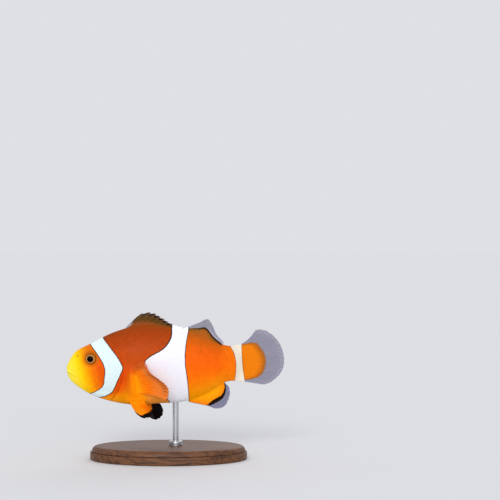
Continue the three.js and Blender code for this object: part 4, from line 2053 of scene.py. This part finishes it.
@dataclass(frozen=True)
class WalnutFinish:
    """Dark walnut under satin varnish, with the grain along the base."""

    name: str = "walnut"
    dark: Colour = rgb(58, 34, 20)
    pale: Colour = rgb(112, 72, 44)
    pore: Colour = rgb(34, 20, 12)

    def make(self) -> bpy.types.Material:
        """Builds the material: broad figure, fine grain lines and short dark pores.

        Returns:
            The material.
        """
        tree = Tree(self.name)
        figure = tree.noise(0.16, 4, (0.16, 1, 1))
        rings = tree.math("FRACT", tree.math("MULTIPLY", figure, 9.0))
        rings = tree.math("MULTIPLY", rings, tree.math("SUBTRACT", 1.0, rings))
        grain = tree.noise(2.4, 3, (0.05, 1, 1))
        amount = tree.math("ADD", tree.math("MULTIPLY", rings, 2.0), tree.stretch(grain, -0.15, 0.75))
        colour = tree.mix(tree.step(amount, 0.1, 1.0), paint(self.dark), paint(self.pale))
        pores = tree.step(tree.noise(3.2, 1, (0.06, 1, 1)), 0.6, 0.68)
        colour = tree.mix(tree.math("MULTIPLY", pores, 0.6), colour, paint(self.pore))
        return tree.finish(
            Base_Color=colour,
            Roughness=tree.stretch(grain, 0.46, 0.6),
            Normal=tree.bumps(tree.math("SUBTRACT", grain, pores), 0.25, 0.04),
            Specular_IOR_Level=0.25,
            Coat_Weight=0.1,
            Coat_Roughness=0.3,
        )


@dataclass(frozen=True)
class SteelFinish:
    """Brushed stainless steel."""

    name: str = "brushed_steel"
    colour: Colour = rgb(188, 190, 194)

    def make(self) -> bpy.types.Material:
        """Builds the material, with fine lines round the rod.

        Returns:
            The material.
        """
        tree = Tree(self.name)
        lines = tree.noise(9, 2, (0.1, 0.1, 1))
        return tree.finish(
            Base_Color=tree.shade(paint(self.colour), tree.stretch(lines, 0.88, 1.04)),
            Metallic=1.0,
            Roughness=tree.stretch(lines, 0.22, 0.38),
            Normal=tree.bumps(lines, 0.15, 0.01),
        )


@dataclass(frozen=True)
class FloorFinish:
    """A plain pale studio floor."""

    name: str = "studio_floor"
    colour: Colour = rgb(219, 219, 220)

    def make(self) -> bpy.types.Material:
        """Builds the material."""
        tree = Tree(self.name)
        return tree.finish(Base_Color=paint(self.colour), Roughness=1.0, Specular_IOR_Level=0.0)


# ------------------------------------------------------------------ studio


@dataclass(frozen=True)
class Lamp:
    """A broad and distant lamp, whose light is the same all over the floor."""

    name: str
    towards: tuple[float, float, float]
    power: float
    spread: float

    def build(self) -> None:
        """Hangs the lamp, which shines from the given direction over a disc of spread degrees."""
        data = bpy.data.lights.new(self.name, "SUN")
        data.energy = self.power
        data.angle = math.radians(self.spread)
        lamp = bpy.data.objects.new(self.name, data)
        lamp.location = Vector(self.towards)
        lamp.rotation_euler = (-Vector(self.towards)).to_track_quat("-Z", "Y").to_euler()
        bpy.context.scene.collection.objects.link(lamp)


@dataclass(frozen=True)
class Studio:
    """Camera, lamps, surrounding light and floor."""

    camera_place: tuple[float, float, float] = (0.0301, -0.514, 0.0773)
    lens: float = 100
    sensor: float = 36
    clip: tuple[float, float] = (0.01, 200)
    floor_radius: float = 30
    floor_sides: int = 96
    sky: Colour = rgb(222, 224, 229)
    sky_strength: float = 1.0
    lamps: tuple[Lamp, ...] = (
        Lamp("key_lamp", (-0.15, -0.85, 0.45), 0.9, 18),
        Lamp("front_lamp", (0.1, -1, 0.1), 1.4, 50),
        Lamp("rim_lamp", (0.2, 0.8, 0.6), 0.5, 40),
    )

    def build(self) -> None:
        """Makes the studio."""
        self.build_camera()
        for lamp in self.lamps:
            lamp.build()
        self.build_sky()
        self.build_floor()

    def build_camera(self) -> None:
        """A camera that looks level along the ground, square to the fish's straight part."""
        data = bpy.data.cameras.new("camera")
        data.lens = self.lens
        data.sensor_width = self.sensor
        data.clip_start, data.clip_end = self.clip
        camera = bpy.data.objects.new("camera", data)
        camera.location = self.camera_place
        camera.rotation_euler = (math.pi / 2, 0, 0)
        bpy.context.scene.collection.objects.link(camera)
        bpy.context.scene.camera = camera

    def build_sky(self) -> None:
        """Even light from all round, and colours shown as they are."""
        world = bpy.data.worlds.new("studio")
        world.use_nodes = True
        background = world.node_tree.nodes["Background"]
        background.inputs["Color"].default_value = paint(self.sky)
        background.inputs["Strength"].default_value = self.sky_strength
        bpy.context.scene.world = world
        bpy.context.scene.view_settings.view_transform = "Standard"

    def build_floor(self) -> None:
        """A large round floor, as one many-sided face."""
        angle = np.linspace(0, 2 * np.pi, self.floor_sides, endpoint=False)
        ring = np.stack([np.cos(angle), np.sin(angle), 0 * angle], axis=-1) * self.floor_radius
        mesh = bpy.data.meshes.new("floor")
        mesh.from_pydata(ring.tolist(), [], [list(range(self.floor_sides))])
        mesh.materials.append(FloorFinish().make())
        floor = bpy.data.objects.new("floor", mesh)
        bpy.context.scene.collection.objects.link(floor)


# ------------------------------------------------------------------ the fish


@dataclass(frozen=True)
class Clownfish:
    """The whole fish, with its scales in three lengths on each side."""

    plan: BodyPlan
    scale_parts: tuple[tuple[str, float, float], ...] = (("head", 0, 22), ("body", 22, 44), ("tail", 44, 70))

    @cached_property
    def markings(self) -> Markings:
        """Its markings."""
        return Markings(self.plan)

    @cached_property
    def hide(self) -> Hide:
        """Its outer form."""
        return Hide(self.plan, Relief(self.plan))

    def fins(self) -> list[Fin]:
        """Its fins, with the sizes of the solids that they stand for.

        Returns:
            The fins on the midline, then the pairs.
        """
        common = {"plan": self.plan, "markings": self.markings}
        pectoral = {
            "rays": 17, "top": (24.6, 5.6, -1.2), "bottom": (25.4, 3.7, -10.4),
            "lengths": (10.6, 11.7, 14.2, 15.6, 14.4), "out": (52, 50, 42, 33, 25),
            "rise": (38, 18, 9, 1, -9), "bow": (0.02, 0.08, 0.1, 0.09, 0.05), "corners": (0.14, 0.1),
            "cup": 0.5, "root_swell": 0.75, "root_reach": 2.6, "ray_start": 0.16,
        }
        pelvic = {
            "rays": 6, "top": (23.6, 1.7, -13.4), "bottom": (28.2, 1.7, -13.4),
            "bow": (0.03, 0.02, 0, -0.02, -0.03), "corners": (0.14, 0.14), "notch": 0.02, "cup": 0.4,
            "root_swell": 0.9, "root_reach": 1.8, "ray_start": 0.12, "columns_per_ray": 20,
        }
        return [
            SpinyDorsal(
                name="dorsal_fin_spiny", rays=10, front=21.4, rear=42.2, lean=(30, 41, 46, 48, 52),
                lengths=(1.6, 6.2, 7, 6.4, 5.2, 4, 2.7, 1.7, 1, 0.8), corners=(0.4, 0), notch=0.09,
                columns_per_ray=16, branches=(2, 2), ray_half=0.26, **common,
            ),
            SoftDorsal(
                name="dorsal_fin_soft", rays=15, front=42.3, rear=57.6, lean=(50, 40, 25, 36, 46),
                lengths=(0.1, 4.3, 6, 2.5, 0.8), corners=(0, 0.3), rows=64, **common,
            ),
            AnalFin(
                name="anal_fin", rays=14, side=-1, front=43.6, rear=58.4, lean=(60, 53, 38, 36, 48),
                lengths=(1.9, 4.9, 6.8, 7.3, 2.9), corners=(0.4, 0.4), sunk=0.34, rows=72, **common,
            ),
            TailFin(
                name="tail_fin", rays=15, rise=(-10, -4, 4, 15, 35), lengths=(13.7, 17.5, 18.7, 17.5, 12.4),
                bow=(0, 0, 0, 0, -0.09), corners=(0.14, 0.18), notch=0.006, columns_per_ray=16, rows=72,
                root_swell=0.25, ray_half=0.2, ray_tip=0.05, **common,
            ),
            *(
                PectoralFin(name=f"pectoral_fin_{side.word}", side=side, **pectoral, **common)
                for side in Side
            ),
            PelvicFin(
                name="pelvic_fin_left", side=Side.LEFT, lengths=(8.8, 10.6, 11.3, 11.2, 10.2),
                out=(50, 52, 52, 48, 42), rise=(-53, -52, -48, -47, -45), **pelvic, **common,
            ),
            PelvicFin(
                name="pelvic_fin_right", side=Side.RIGHT, lengths=(10.9, 12, 11.8, 10.2, 7.1),
                out=(14, 15, 16, 17, 18), rise=(-43, -42, -36, -27, -13), rim=(2.4, 3.4, 4.6, 5, 4.4),
                **pelvic, **common,
            ),
        ]

    def build(self) -> None:
        """Makes every piece of the fish."""
        skin = SkinFinish().make()
        Skin(self.hide, self.markings).build(skin)
        for side in Side:
            coat = ScaleCoat(self.hide, self.markings, side)
            for part, start, end in self.scale_parts:
                coat.build(skin, f"scales_{part}_{side.word}", start, end)
        eye = EyeFinish().make()
        for side in Side:
            Eye(self.plan, side).build(eye)
        web = FinFinish().make()
        for fin in self.fins():
            fin.build(web)


def main() -> None:
    """Builds the model and its studio."""
    logging.basicConfig(level=logging.INFO, format="%(message)s")
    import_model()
    Studio().build()
    plan = BodyPlan()
    Clownfish(plan).build()
    stand = Stand(plan)
    steel = SteelFinish().make()
    stand.build_base(WalnutFinish().make())
    stand.build_rod(steel)
    stand.build_collar(steel)


if __name__ == "__main__":
    main()
